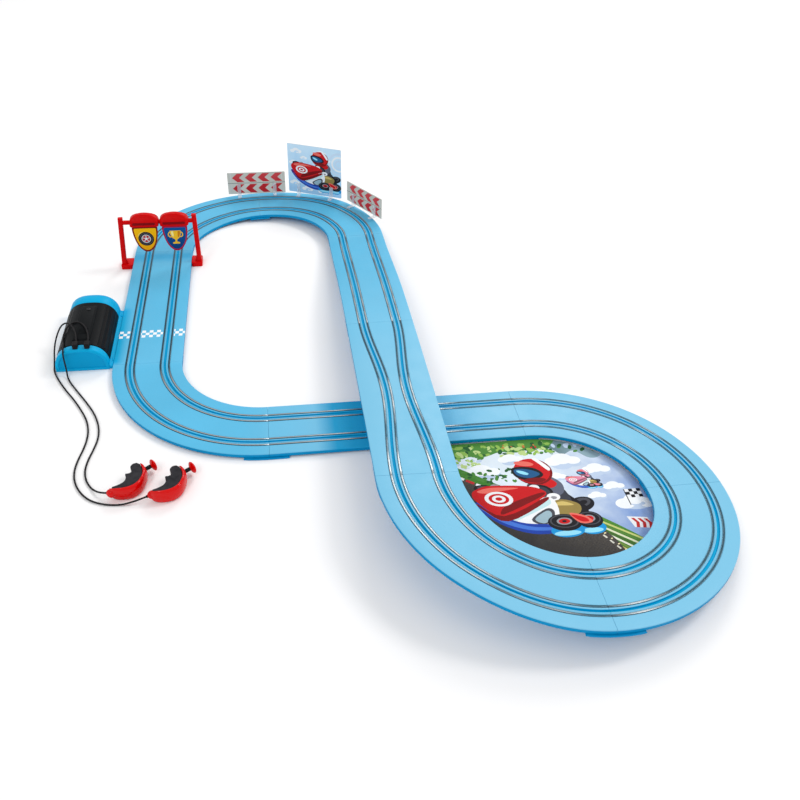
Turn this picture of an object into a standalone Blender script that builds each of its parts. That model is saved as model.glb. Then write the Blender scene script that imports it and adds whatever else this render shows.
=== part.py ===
"""Two-lane slot car track set: a figure of eight with a bridge, a start gantry,
trackside boards, a battery box and two wired thumb controllers.

Metres, +Z up.  The layout is drawn with the crossing at the origin and is moved at
the end, so that the origin is the bottom centre of the set without its cables.
Run with:  blender --background --python part.py
"""
import math

import bmesh
import bpy
import numpy as np
from mathutils import Matrix, Vector

# ---------------------------------------------------------------- driving sizes
RADIUS = 0.1665           # centreline radius of a curve; a straight is two radii long
WIDTH = 0.096             # width of the roadway
DECK_TOP = 0.0075         # roadway surface above the floor where the track lies flat
DECK_THICK = 0.0036       # solid thickness under the surface
SKIRT_DEPTH = 0.0055      # surface to the lower edge of the side skirt
SKIRT_THICK = 0.0016
SLOT_WIDTH = 0.0036
SLOT_DEPTH = 0.0026
LANE_OFFSET = 0.25 * WIDTH      # slot to centreline
NARROW_OFFSET = 0.14 * WIDTH    # the same in the middle of the bridge
RAIL_OFFSET = 0.0058      # rail centre to slot centre
RAIL_WIDTH = 0.0026
RAIL_HEIGHT = 0.0006
GAP = 0.0003              # running gap between pieces that touch

STRAIGHT = 2 * RADIUS
QUARTER = 0.5 * math.pi * RADIUS
HALF = 0.5 * WIDTH

# Sections in driving order from the north end of the bridge:
# name, turn (left 1, right -1, straight 0), sweep steps
SECTIONS = (
    ("bridge_straight", 0, 16),
    ("loop_curve_a", 1, 12),
    ("loop_curve_b", 1, 12),
    ("loop_curve_c", 1, 12),
    ("underpass_straight", 0, 1),
    ("infield_curve", -1, 12),
    ("start_straight", 0, 1),
    ("far_curve_a", -1, 12),
    ("far_curve_b", -1, 12),
    ("ramp_straight", 0, 6),
)

# Rise of the roadway above its lowest level, and its sideways tilt (rise per metre
# towards the left of travel), at places counted in sections from the start.
PROFILE = (
    (0.5, 0.0545, 0.00), (1.0, 0.0590, -0.03), (1.5, 0.0480, -0.09), (2.0, 0.0300, 0.00),
    (2.5, 0.0190, 0.00), (3.0, 0.0060, 0.00), (3.5, 0.0020, 0.00), (4.0, 0.0, 0.0),
    (7.0, 0.0, 0.0), (7.5, 0.0010, 0.03), (8.0, 0.0055, 0.00), (8.5, 0.0130, 0.03),
    (9.0, 0.0165, 0.05), (9.75, 0.0447, 0.03),
)


def srgb(red, green, blue):
    """A colour given in 0-255 screen values, as the linear values Blender uses."""
    def linear(value):
        value /= 255.0
        return value / 12.92 if value <= 0.04045 else ((value + 0.055) / 1.055) ** 2.4
    return (linear(red), linear(green), linear(blue), 1.0)


# name: colour, roughness, metallic
FINISHES = {
    "track_blue": (srgb(118, 197, 232), 0.42, 0.0),
    "rail_metal": (srgb(120, 118, 118), 0.35, 1.0),
    "gantry_red": (srgb(205, 16, 20), 0.38, 0.0),
    "shield_gold": (srgb(242, 178, 20), 0.45, 0.0),
    "shield_blue": (srgb(10, 70, 150), 0.45, 0.0),
    "board_grey": (srgb(203, 198, 186), 0.60, 0.0),
    "board_sky": (srgb(165, 208, 240), 0.50, 0.0),
    "clip_clear": (srgb(235, 238, 242), 0.20, 0.0),
    "box_cyan": (srgb(20, 165, 215), 0.40, 0.0),
    "cover_black": (srgb(28, 26, 28), 0.45, 0.0),
    "cell_wrap": (srgb(60, 80, 60), 0.40, 0.0),
    "contact_steel": (srgb(190, 190, 195), 0.30, 1.0),
    "controller_red": (srgb(215, 25, 18), 0.25, 0.0),
    "grip_grey": (srgb(76, 74, 78), 0.60, 0.0),
    "plunger_black": (srgb(30, 28, 30), 0.50, 0.0),
    "cable_black": (srgb(40, 38, 40), 0.55, 0.0),
    "card_print": (srgb(90, 150, 80), 0.60, 0.0),
}


def finish(name):
    material = bpy.data.materials.get(name)
    if material is None:
        colour, roughness, metallic = FINISHES[name]
        material = bpy.data.materials.new(name)
        material.use_nodes = True
        shader = material.node_tree.nodes["Principled BSDF"]
        shader.inputs["Base Color"].default_value = colour
        shader.inputs["Roughness"].default_value = roughness
        shader.inputs["Metallic"].default_value = metallic
    return material


# ---------------------------------------------------------------- mesh helpers
def clear_scene():
    for item in list(bpy.data.objects):
        bpy.data.objects.remove(item, do_unlink=True)


def add_mesh(name, bm, material, smooth=None):
    """Makes an object from a closed bmesh; smooth is the sharp-edge angle in degrees."""
    bmesh.ops.recalc_face_normals(bm, faces=bm.faces)
    mesh = bpy.data.meshes.new(name)
    bm.to_mesh(mesh)
    bm.free()
    if smooth:
        mesh.shade_smooth()
        mesh.set_sharp_from_angle(angle=math.radians(smooth))
    part = bpy.data.objects.new(name, mesh)
    bpy.context.scene.collection.objects.link(part)
    part.data.materials.append(finish(material))
    return part


def loft(rings, closed_path=False):
    """Joins rings of equal point counts; the ends are capped unless the path closes."""
    bm = bmesh.new()
    rows = [[bm.verts.new(point) for point in ring] for ring in rings]
    count = len(rings[0])
    last = len(rows) if closed_path else len(rows) - 1
    for i in range(last):
        here, there = rows[i], rows[(i + 1) % len(rows)]
        for k in range(count):
            j = (k + 1) % count
            bm.faces.new((here[k], here[j], there[j], there[k]))
    if not closed_path:
        bm.faces.new(rows[0])
        bm.faces.new(rows[-1])
    return bm


def prism(outline, low, high, plane="XY"):
    """A straight-sided solid on an outline in the plane named, from low to high."""
    place = {
        "XY": lambda a, b, c: (a, b, c),
        "XZ": lambda a, b, c: (a, c, b),
    }[plane]
    return loft([[place(a, b, level) for a, b in outline] for level in (low, high)])


def block(low, high):
    """A rectangular solid between two corners."""
    outline = ((low[0], low[1]), (high[0], low[1]), (high[0], high[1]), (low[0], high[1]))
    return prism(outline, low[2], high[2])


def lathe(profile, sides=16):
    """A turned solid about local Z from (radius, z) points that start and end on the axis."""
    bm = bmesh.new()
    rows = []
    for radius, z in profile:
        if radius == 0:
            rows.append([bm.verts.new((0, 0, z))] * sides)
        else:
            turn = [2 * math.pi * k / sides for k in range(sides)]
            rows.append([bm.verts.new((radius * math.cos(t), radius * math.sin(t), z)) for t in turn])
    for lower, upper in zip(rows, rows[1:]):
        for k in range(sides):
            j = (k + 1) % sides
            corners = dict.fromkeys((lower[k], lower[j], upper[j], upper[k]))
            bm.faces.new(tuple(corners))
    return bm


def combine(target, bm, operation):
    """Adds a Boolean of a helper solid to the target; the helper is only a guide."""
    helper = add_mesh(f"guide_{len(bpy.data.objects)}", bm, "track_blue")
    helper.hide_render = True
    helper.display_type = "WIRE"
    change = target.modifiers.new(operation.lower(), "BOOLEAN")
    change.operation = operation
    change.solver = "EXACT"
    change.object = helper


def smooth_outline(points, per_span=2):
    """A closed outline of straight spans rounded through its points (Catmull-Rom)."""
    count = len(points)
    result = []
    for i in range(count):
        p0, p1, p2, p3 = (np.array(points[(i + k) % count]) for k in (-1, 0, 1, 2))
        for step in range(per_span):
            t = step / per_span
            spot = 0.5 * (2 * p1 + (p2 - p0) * t + (2 * p0 - 5 * p1 + 4 * p2 - p3) * t * t
                          + (3 * p1 - p0 - 3 * p2 + p3) * t ** 3)
            result.append(tuple(spot))
    return result


def smooth_path(points, spacing):
    """Points read at an even spacing from a smooth curve through an open route."""
    route = [np.array(p) for p in points]
    route = [2 * route[0] - route[1], *route, 2 * route[-1] - route[-2]]
    fine = []
    for p0, p1, p2, p3 in zip(route, route[1:], route[2:], route[3:]):
        for t in np.linspace(0, 1, 24, endpoint=False):
            fine.append(0.5 * (2 * p1 + (p2 - p0) * t + (2 * p0 - 5 * p1 + 4 * p2 - p3) * t * t
                               + (3 * p1 - p0 - 3 * p2 + p3) * t ** 3))
    fine = np.array([*fine, route[-2]])
    along = np.concatenate(([0], np.cumsum(np.linalg.norm(np.diff(fine, axis=0), axis=1))))
    places = np.linspace(0, along[-1], int(round(along[-1] / spacing)) + 1)
    return [tuple(np.interp(place, along, fine[:, k]) for k in range(3)) for place in places]


# ---------------------------------------------------------------- the roadway
def section_length(index):
    return QUARTER if SECTIONS[index][1] else STRAIGHT


SECTION_STARTS = [sum(section_length(k) for k in range(i)) for i in range(len(SECTIONS) + 1)]
LAP = SECTION_STARTS[-1]


def section_place(count):
    """Distance along the lap of a place counted in sections."""
    index = min(int(count), len(SECTIONS) - 1)
    return SECTION_STARTS[index] + (count - index) * section_length(index)


def periodic_curve(places, values):
    """A smooth curve through the values with no overshoot, repeating every lap."""
    x = np.array([*[p - LAP for p in places[-2:]], *places, *[p + LAP for p in places[:2]]])
    y = np.array([*values[-2:], *values, *values[:2]])
    chord = np.diff(y) / np.diff(x)
    slope = np.zeros(len(x))
    for i in range(1, len(x) - 1):
        if chord[i - 1] * chord[i] > 0:
            slope[i] = 2 * chord[i - 1] * chord[i] / (chord[i - 1] + chord[i])

    def value(place):
        i = int(np.clip(np.searchsorted(x, place) - 1, 0, len(x) - 2))
        span = x[i + 1] - x[i]
        t = (place - x[i]) / span
        return float((2 * t ** 3 - 3 * t * t + 1) * y[i] + (t ** 3 - 2 * t * t + t) * span * slope[i]
                     + (3 * t * t - 2 * t ** 3) * y[i + 1] + (t ** 3 - t * t) * span * slope[i + 1])
    return value


PROFILE_PLACES = [section_place(row[0]) for row in PROFILE]
deck_rise = periodic_curve(PROFILE_PLACES, [row[1] for row in PROFILE])
deck_tilt = periodic_curve(PROFILE_PLACES, [row[2] for row in PROFILE])


def centreline(place):
    """Position and heading (unit vector) on the centreline at a distance along the lap."""
    x, y, heading = 0.0, RADIUS, -0.5 * math.pi
    for index, (_, turn, _) in enumerate(SECTIONS):
        run = min(place - SECTION_STARTS[index], section_length(index))
        if turn:
            angle = turn * run / RADIUS
            centre_x = x - turn * RADIUS * math.sin(heading)
            centre_y = y + turn * RADIUS * math.cos(heading)
            heading += angle
            x = centre_x + turn * RADIUS * math.sin(heading)
            y = centre_y - turn * RADIUS * math.cos(heading)
        else:
            x += run * math.cos(heading)
            y += run * math.sin(heading)
        if place <= SECTION_STARTS[index + 1]:
            break
    return x, y, math.cos(heading), math.sin(heading)


def deck_point(place, offset, depth=0.0):
    """A point offset to the left of the centreline and depth below the surface."""
    x, y, forward_x, forward_y = centreline(place)
    height = DECK_TOP + deck_rise(place) + deck_tilt(place) * offset - depth
    return (x - forward_y * offset, y + forward_x * offset, height)


def lane_offset(place):
    """Slot to centreline; the lanes pinch together on the bridge straight."""
    if place >= STRAIGHT:
        return LANE_OFFSET
    pinch = 0.5 * (1 - math.cos(2 * math.pi * place / STRAIGHT))
    return LANE_OFFSET + (NARROW_OFFSET - LANE_OFFSET) * pinch


def deck_outline(place):
    """Cross-section of the roadway: skirts, surface, and one slot for each lane."""
    lane, slot = lane_offset(place), 0.5 * SLOT_WIDTH
    inner = HALF - SKIRT_THICK
    section = [(-HALF, SKIRT_DEPTH), (-HALF, 0)]
    for middle in (-lane, lane):
        section += [(middle - slot, 0), (middle - slot, SLOT_DEPTH)]
        section += [(middle + slot, SLOT_DEPTH), (middle + slot, 0)]
    section += [(HALF, 0), (HALF, SKIRT_DEPTH), (inner, SKIRT_DEPTH), (inner, DECK_THICK)]
    section += [(-inner, DECK_THICK), (-inner, SKIRT_DEPTH)]
    return [deck_point(place, offset, depth) for offset, depth in section]


def section_places(index):
    start, end = SECTION_STARTS[index], SECTION_STARTS[index + 1]
    return np.linspace(start + GAP / 2, end - GAP / 2, SECTIONS[index][2] + 1)


def build_track():
    for index, (name, _, _) in enumerate(SECTIONS):
        add_mesh(name, loft([deck_outline(place) for place in section_places(index)]), "track_blue")


def build_rails():
    """Each rail is one strip that follows its slot round the whole lap."""
    places = []
    for index in range(len(SECTIONS)):
        places += list(section_places(index))
    for lane, side in ((1, 1), (2, -1)):
        for label, reach in (("left", RAIL_OFFSET), ("right", -RAIL_OFFSET)):
            rings = []
            for place in places:
                middle = side * lane_offset(place) + reach
                low, high = middle - 0.5 * RAIL_WIDTH, middle + 0.5 * RAIL_WIDTH
                rings.append([deck_point(place, low, -GAP), deck_point(place, high, -GAP),
                              deck_point(place, high, -GAP - RAIL_HEIGHT),
                              deck_point(place, low, -GAP - RAIL_HEIGHT)])
            add_mesh(f"lane_{lane}_rail_{label}", loft(rings, closed_path=True), "rail_metal")


# ---------------------------------------------------------------- joint feet and bridge supports
PLATE_THICK = DECK_TOP - SKIRT_DEPTH - GAP   # a foot fills the space under a low seam
PLATE_LENGTH = 0.050
TAB_REACH = 0.0025        # how far a joint foot stands out beyond the skirt
COLUMN = (0.016, 0.040)   # along and across the roadway
BASE = (0.056, 0.056, 0.002)

# name, section that starts at the seam, tabs beyond the left and right skirts, and how
# far the column stands to the left of the centreline
SUPPORTS = (
    ("bridge_support_1", 0, True, True, 0.0),
    ("bridge_support_2", 1, False, True, 0.016),
    ("bridge_support_3", 2, False, True, 0.012),
    ("bridge_support_4", 9, True, True, 0.0),
    ("joint_foot_1", 3, False, True, 0.0),
    ("joint_foot_2", 4, False, True, 0.0),
    ("joint_foot_3", 5, True, True, 0.0),
    ("joint_foot_4", 6, False, True, 0.0),
    ("joint_foot_5", 7, False, False, 0.0),
    ("joint_foot_6", 8, True, True, 0.0),
)


def build_support(name, section, left_tab, right_tab, shift):
    """The foot under the seam where a section starts, with a column where it is raised."""
    seam = SECTION_STARTS[section]
    top = SKIRT_DEPTH + GAP
    rings = []
    for step in np.linspace(-0.5, 0.5, 5):
        place = (seam + step * PLATE_LENGTH) % LAP
        left, right = HALF + TAB_REACH * left_tab, -HALF - TAB_REACH * right_tab
        ring = [deck_point(place, left, top), deck_point(place, right, top),
                deck_point(place, right, top + PLATE_THICK),
                deck_point(place, left, top + PLATE_THICK)]
        rings.append([(x, y, max(z, 0.0)) for x, y, z in ring])
    foot = add_mesh(name, loft(rings), "track_blue")
    rise = deck_rise(seam)
    if rise < BASE[2] + PLATE_THICK:
        return
    x, y, forward_x, forward_y = centreline(seam)
    turn = Matrix.Translation((x, y, 0)) @ Matrix.Rotation(math.atan2(forward_y, forward_x), 4, "Z")
    for size, height in ((BASE, BASE[2]), (COLUMN, rise + 0.5 * PLATE_THICK)):
        solid = block((-size[0] / 2, shift - size[1] / 2, 0), (size[0] / 2, shift + size[1] / 2, height))
        solid.transform(turn)
        combine(foot, solid, "UNION")


def build_supports():
    for row in SUPPORTS:
        build_support(*row)


# ---------------------------------------------------------------- infield card
CARD_THICK = 0.0008
CARD_CLEARANCE = 0.0006


def build_card():
    """A printed card that fills the loop and its corner under the bridge."""
    radius = RADIUS - HALF - CARD_CLEARANCE
    turns = np.linspace(-math.pi, 0.5 * math.pi, 49)
    outline = [(RADIUS + radius * math.cos(t), -RADIUS + radius * math.sin(t)) for t in turns]
    outline.append((RADIUS - radius, radius - RADIUS))
    add_mesh("infield_card", prism(outline, 0, CARD_THICK), "card_print")


# ---------------------------------------------------------------- start gantry
TRACK_WEST = -2 * RADIUS - HALF       # outer edge of the start straight
TRACK_EAST = -2 * RADIUS + HALF
GANTRY_Y = 0.4600
POST_DEPTH = 0.0070
FOOT_DEPTH = 0.0260
FOOT_HEIGHT = 0.0075
FOOT_REACH = (0.0188, 0.0175)         # foot beyond the track edge, west and east
POST_WIDTH = 0.0068
POST_LEANS = (0.0065, 0.0005)         # how far each post leans in over its height
POST_TOPS = (0.0905, 0.0930)
BAR_Z = (0.0790, 0.0850)
HOOD_CENTRES = (-0.3525, -0.3045)
HOOD_WIDTH = 0.0462
HOOD_DEPTH = 0.0190
HOOD_Z = (0.0768, 0.0965)
SHIELD_WIDTH = 0.0410
SHIELD_TIP_Z = 0.0310
SHIELD_THICK = 0.0016
SHIELD_FRONT = GANTRY_Y - 0.0030
HOOD_FRONT = GANTRY_Y - 0.0050
HOOD_DOME = 0.0150                    # height of the rounded top of a hood
FOOT_FRONT = GANTRY_Y - 0.0040
FOOT_FLARE = 0.0006                   # how far a foot stands out past its post


def hood_outline(centre):
    """Front outline of a hood: straight sides under a flattened dome."""
    half = 0.5 * HOOD_WIDTH
    turns = np.linspace(0, math.pi, 13)
    shoulder = HOOD_Z[1] - HOOD_DOME
    points = [(centre - half * 0.94, HOOD_Z[0]), (centre + half * 0.94, HOOD_Z[0])]
    for t in turns:
        across = math.copysign(abs(math.cos(t)) ** 0.75, math.cos(t))
        points.append((centre + half * across, shoulder + HOOD_DOME * math.sin(t) ** 0.75))
    return points


def build_gantry():
    west, east = TRACK_WEST - FOOT_REACH[0], TRACK_EAST + FOOT_REACH[1]
    post = POST_WIDTH
    west_top, east_top = west + POST_LEANS[0], east - POST_LEANS[1]
    west_high, east_high = POST_TOPS
    west_share, east_share = BAR_Z[0] / west_high, BAR_Z[0] / east_high
    outline = [
        (west, 0), (west + post, 0), (west + post + POST_LEANS[0] * west_share, BAR_Z[0]),
        (east - post - POST_LEANS[1] * east_share, BAR_Z[0]), (east - post, 0), (east, 0),
        (east_top, east_high), (east_top - post, east_high),
        (east_top - post, BAR_Z[1]), (west_top + post, BAR_Z[1]),
        (west_top + post, west_high), (west_top, west_high),
    ]
    frame = add_mesh("gantry_frame", prism(outline, GANTRY_Y, GANTRY_Y + POST_DEPTH, "XZ"), "gantry_red")
    for inner, outer in ((TRACK_WEST - GAP, west - FOOT_FLARE), (TRACK_EAST + GAP, east + FOOT_FLARE)):
        low = (min(inner, outer), FOOT_FRONT, 0)
        high = (max(inner, outer), FOOT_FRONT + FOOT_DEPTH, FOOT_HEIGHT)
        combine(frame, block(low, high), "UNION")
    for centre in HOOD_CENTRES:
        combine(frame, prism(hood_outline(centre), HOOD_FRONT, HOOD_FRONT + HOOD_DEPTH, "XZ"), "UNION")
    for label, centre in zip(("left", "right"), HOOD_CENTRES):
        material = "shield_gold" if label == "left" else "shield_blue"
        build_shield(f"gantry_shield_{label}", centre, material)


def build_shield(name, centre, material):
    """A shield-shaped plaque that hangs below a hood."""
    half, top = 0.5 * SHIELD_WIDTH, HOOD_Z[0] - GAP
    height = top - SHIELD_TIP_Z
    side = [(1.0, 0.0), (0.97, 0.28), (0.84, 0.56), (0.62, 0.80), (0.34, 0.95), (0.0, 1.0)]
    outline = [(centre + half * x, top - height * z) for x, z in side]
    outline += [(centre - half * x, top - height * z) for x, z in reversed(side[:-1])]
    add_mesh(name, prism(outline, SHIELD_FRONT, SHIELD_FRONT + SHIELD_THICK, "XZ"), material)


# ---------------------------------------------------------------- trackside boards and clips
BOARD_THICK = 0.0010
# name, left end, right end (layout plan), lower and upper edge, finish
BOARDS = (
    ("barrier_board_left", (-0.2240, 0.7030), (-0.1150, 0.7040), 0.0175, 0.0600, "board_grey"),
    ("picture_board", (-0.1080, 0.6975), (-0.0110, 0.6545), 0.0235, 0.1185, "board_sky"),
    ("barrier_board_right", (-0.0015, 0.6365), (0.0525, 0.5515), 0.0285, 0.0665, "board_grey"),
)
CLIP_PLACES = (0.19, 0.81)      # along the board, as a fraction of its length
CLIP_WIDTH = 0.0070
PRONG = 0.0012
PRONG_HEIGHT = 0.0200
CLIP_FOOT = 0.0140              # longest tongue that lies on the roadway
RAIL_EDGE = RADIUS + LANE_OFFSET + RAIL_OFFSET + 0.5 * RAIL_WIDTH + 0.0012


def board_frame(board):
    """Unit vectors along a board and towards the track, and its length."""
    start, end = Vector(board[1]), Vector(board[2])
    along = (end - start).normalized()
    return start, along, Vector((along.y, -along.x)), (end - start).length


def build_boards():
    number = 0
    for board in BOARDS:
        name, _, _, low, high, material = board
        start, along, inward, length = board_frame(board)
        corners = [start, start + along * length, start + along * length - inward * BOARD_THICK,
                   start - inward * BOARD_THICK]
        add_mesh(name, prism([tuple(c) for c in corners], low, high), material)
        for fraction in CLIP_PLACES:
            number += 1
            build_clip(f"board_clip_{number}", start + along * length * fraction, along, inward, low)


def roadway_height(point):
    """Height of the far curves' surface under a plan position."""
    turn = math.atan2(point.y - 3 * RADIUS, point.x + RADIUS)
    place = SECTION_STARTS[8] + RADIUS * (0.5 * math.pi - turn)
    offset = math.hypot(point.x + RADIUS, point.y - 3 * RADIUS) - RADIUS
    return DECK_TOP + deck_rise(place) + deck_tilt(place) * offset


def build_clip(name, middle, along, inward, board_low):
    """A clear clip: a tongue on the roadway, and two prongs that hold the board."""
    foot = min(CLIP_FOOT, math.hypot(middle.x + RADIUS, middle.y - 3 * RADIUS) - RAIL_EDGE)
    corners = [middle + inward * reach + along * side * CLIP_WIDTH / 2
               for reach in (0, foot) for side in (-1, 1)]
    floor = max(roadway_height(corner) for corner in corners) + GAP
    seat = board_low - GAP
    top = board_low + PRONG_HEIGHT
    front, back = GAP, -BOARD_THICK - GAP
    profile = [
        (foot, floor), (foot, floor + PRONG), (front + PRONG, floor + PRONG),
        (front + PRONG, top), (front, top), (front, seat), (back, seat), (back, top),
        (back - PRONG, top), (back - PRONG, floor),
    ]
    rings = []
    for side in (-0.5, 0.5):
        shift = along * side * CLIP_WIDTH
        rings.append([(middle.x + shift.x + inward.x * d, middle.y + shift.y + inward.y * d, z)
                      for d, z in profile])
    add_mesh(name, loft(rings), "clip_clear")


# ---------------------------------------------------------------- battery box
BOX_X = -0.4230
BOX_HALF = 0.0370
BOX_HEIGHT = 0.0360
BOX_FRONT, BOX_BACK = 0.1675, 0.3160
RIB_FRONT, RIB_BACK = 0.1800, 0.2935      # where the cover starts and ends
SILL = 0.0080                             # height of the tray under the cover
TRAY_FLOOR = 0.0020
TRAY_WALL = 0.0040                        # at each end of the cell tray
TRAY_HALF = 0.0275
PLATE_HEIGHT = 0.0062                     # the plate that joins the box to the track
RECESS_MARGIN = 0.0050                    # border round the sunk front panel
RECESS_DEPTH = 0.0015
CLEAR = 0.0100                            # how far a cutter reaches past what it cuts
COVER_THICK = 0.0020
SOCKETS = (-0.4275, -0.4115)
SOCKET_Y = 0.1740
SOCKET = (0.0056, 0.0040, 0.0080)
CELL_RADIUS, CELL_LENGTH = 0.0130, 0.0485


def arch_outline(half, height, base=0.0, sides=14, roundness=0.86):
    """A rounded arch on a flat base, centred on the battery box."""
    points = []
    for t in np.linspace(0, math.pi, sides + 1):
        across = math.copysign(abs(math.cos(t)) ** roundness, math.cos(t))
        points.append((BOX_X + half * across, base + (height - base) * math.sin(t) ** roundness))
    return points


def build_battery_box():
    shell = prism(arch_outline(BOX_HALF, BOX_HEIGHT), BOX_FRONT, BOX_BACK, "XZ")
    housing = add_mesh("battery_box_base", shell, "box_cyan")
    west, east = BOX_X - BOX_HALF, BOX_X + BOX_HALF
    combine(housing, block((east - CLEAR, BOX_FRONT, 0), (TRACK_WEST - GAP, BOX_BACK, PLATE_HEIGHT)), "UNION")
    above = block((west - CLEAR, RIB_FRONT, SILL), (east + CLEAR, RIB_BACK, BOX_HEIGHT + CLEAR))
    combine(housing, above, "DIFFERENCE")
    cavity = block((BOX_X - TRAY_HALF, RIB_FRONT + TRAY_WALL, TRAY_FLOOR),
                   (BOX_X + TRAY_HALF, RIB_BACK - TRAY_WALL, SILL + CLEAR))
    combine(housing, cavity, "DIFFERENCE")
    recess = arch_outline(BOX_HALF - RECESS_MARGIN, BOX_HEIGHT - RECESS_MARGIN, 0.6 * RECESS_MARGIN)
    combine(housing, prism(recess, BOX_FRONT - CLEAR, BOX_FRONT + RECESS_DEPTH, "XZ"), "DIFFERENCE")
    for x in SOCKETS:
        hole = block((x - SOCKET[0] / 2, SOCKET_Y - SOCKET[1] / 2, BOX_HEIGHT - SOCKET[2]),
                     (x + SOCKET[0] / 2, SOCKET_Y + SOCKET[1] / 2, BOX_HEIGHT + CLEAR))
        combine(housing, hole, "DIFFERENCE")
    build_cover()
    build_cells()


def build_cover():
    """The arched lid over the cells, an even shell that stands on the tray's sills."""
    outer = arch_outline(BOX_HALF, BOX_HEIGHT)
    inner = arch_outline(BOX_HALF - COVER_THICK, BOX_HEIGHT - COVER_THICK)
    low = SILL + GAP

    def clipped(points):
        """The part of an arch above the sill, with its two ends on the sill."""
        kept = []
        for (x0, z0), (x1, z1) in zip(points, points[1:]):
            if (z0 < low) != (z1 < low):
                share = (low - z0) / (z1 - z0)
                kept.append((x0 + share * (x1 - x0), low))
            if z1 >= low:
                kept.append((x1, z1))
        return kept
    outline = clipped(outer) + clipped(inner)[::-1]
    add_mesh("battery_cover", prism(outline, RIB_FRONT + GAP, RIB_BACK - GAP, "XZ"), "cover_black")


def build_cells():
    """Four round cells in two rows of two, and the strip that joins two of them."""
    number = 0
    for column in (-1, 1):
        for row in (0, 1):
            number += 1
            profile = [(0, 0), (CELL_RADIUS - 0.001, 0), (CELL_RADIUS, 0.001),
                       (CELL_RADIUS, CELL_LENGTH - 0.001), (CELL_RADIUS - 0.001, CELL_LENGTH),
                       (0.0035, CELL_LENGTH), (0.0035, CELL_LENGTH + 0.0015), (0, CELL_LENGTH + 0.0015)]
            cell = add_mesh(f"battery_cell_{number}", lathe(profile, 20), "cell_wrap", smooth=40)
            cell.location = (BOX_X + column * (CELL_RADIUS + GAP), RIB_FRONT + 0.0055 + row * 0.0515,
                             TRAY_FLOOR + GAP + CELL_RADIUS)
            cell.rotation_euler = (-0.5 * math.pi, 0, 0)
    strip = block((BOX_X - 0.018, RIB_FRONT + 0.0043, 0.0060), (BOX_X + 0.018, RIB_FRONT + 0.0051, 0.0240))
    add_mesh("battery_contact", strip, "contact_steel")


# ---------------------------------------------------------------- thumb controllers
CONTROLLERS = ((-0.3415, -0.0810), (-0.2942, -0.0908))
SHELL_TOP = 0.0190
SHELL_SPLIT = 0.0100
SHELL_FLOOR = 0.0020
GRIP_TOP = 0.0175
AXIS_TURN = math.radians(37)     # direction of the plunger in plan
AXIS_Z = 0.0100
POCKET = (0.0090, 0.0264)        # from the controller's centre along the plunger
POCKET_RADIUS = 0.0034
BORE_END = 0.0400
BORE_RADIUS = 0.0029
STEM_START = 0.0240
STEM_PROFILE = ((0, 0), (3.1, 0), (3.1, 2.2), (2.6, 2.2), (2.6, 14.5), (0, 14.5))
BUTTON_START = 0.0388
BUTTON_PROFILE = ((0, 0), (2.2, 0), (3.2, 0.9), (6.9, 2.5), (7.6, 3.4), (7.3, 4.4), (5.4, 5.5),
                  (2.8, 6.2), (0, 6.4))
SPRING_RADIUS, SPRING_WIRE, SPRING_TURNS = 0.0023, 0.0003, 6

# Crescent outline about the controller's centre (millimetres): the outer edge from the
# tail round to the head, and the fingered inner edge back to the tail.
OUTER_EDGE = ((-15.0, -16.2), (-12.0, -20.0), (-4.0, -23.2), (6.0, -24.0), (16.0, -21.0),
              (24.0, -12.5), (28.0, 0.0), (28.2, 11.0), (24.5, 20.0), (17.5, 24.2))
INNER_EDGE = ((11.0, 22.5), (8.3, 17.0), (11.0, 10.0), (8.0, 6.0), (3.6, 5.0), (5.0, -2.0),
              (2.5, -9.0), (-5.0, -14.0), (-11.5, -14.8))
# Recess for the grip: along the rim from head to tail, then well outside the inner edge.
RECESS = ((17.8, 27.0), (20.3, 19.4), (23.1, 12.0), (23.9, 2.4), (20.9, -8.6), (14.6, -16.0),
          (5.0, -19.8), (-5.0, -20.0), (-9.5, -19.0), (-10.5, -10.0), (-20.0, 20.0), (0.0, 40.0))
RECESS_CENTRE = (5.0, 0.0)
GRIP_SCALE = 0.98                # leaves about 0.4 mm between grip and rim


def millimetres(points):
    return [(x / 1000, y / 1000) for x, y in points]


def rod(centre, start, end, radius, sides=16):
    """A round guide along a controller's plunger axis."""
    solid = lathe([(0, start), (radius, start), (radius, end), (0, end)], sides)
    solid.transform(axis_matrix(centre, 0.0))
    return solid


def axis_matrix(centre, distance):
    """Puts local Z along the plunger axis, at a distance from the controller's centre."""
    spot = Vector((centre[0] + distance * math.cos(AXIS_TURN),
                   centre[1] + distance * math.sin(AXIS_TURN), AXIS_Z))
    turn = Matrix.Rotation(AXIS_TURN, 4, "Z") @ Matrix.Rotation(0.5 * math.pi, 4, "Y")
    return Matrix.Translation(spot) @ turn


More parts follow.
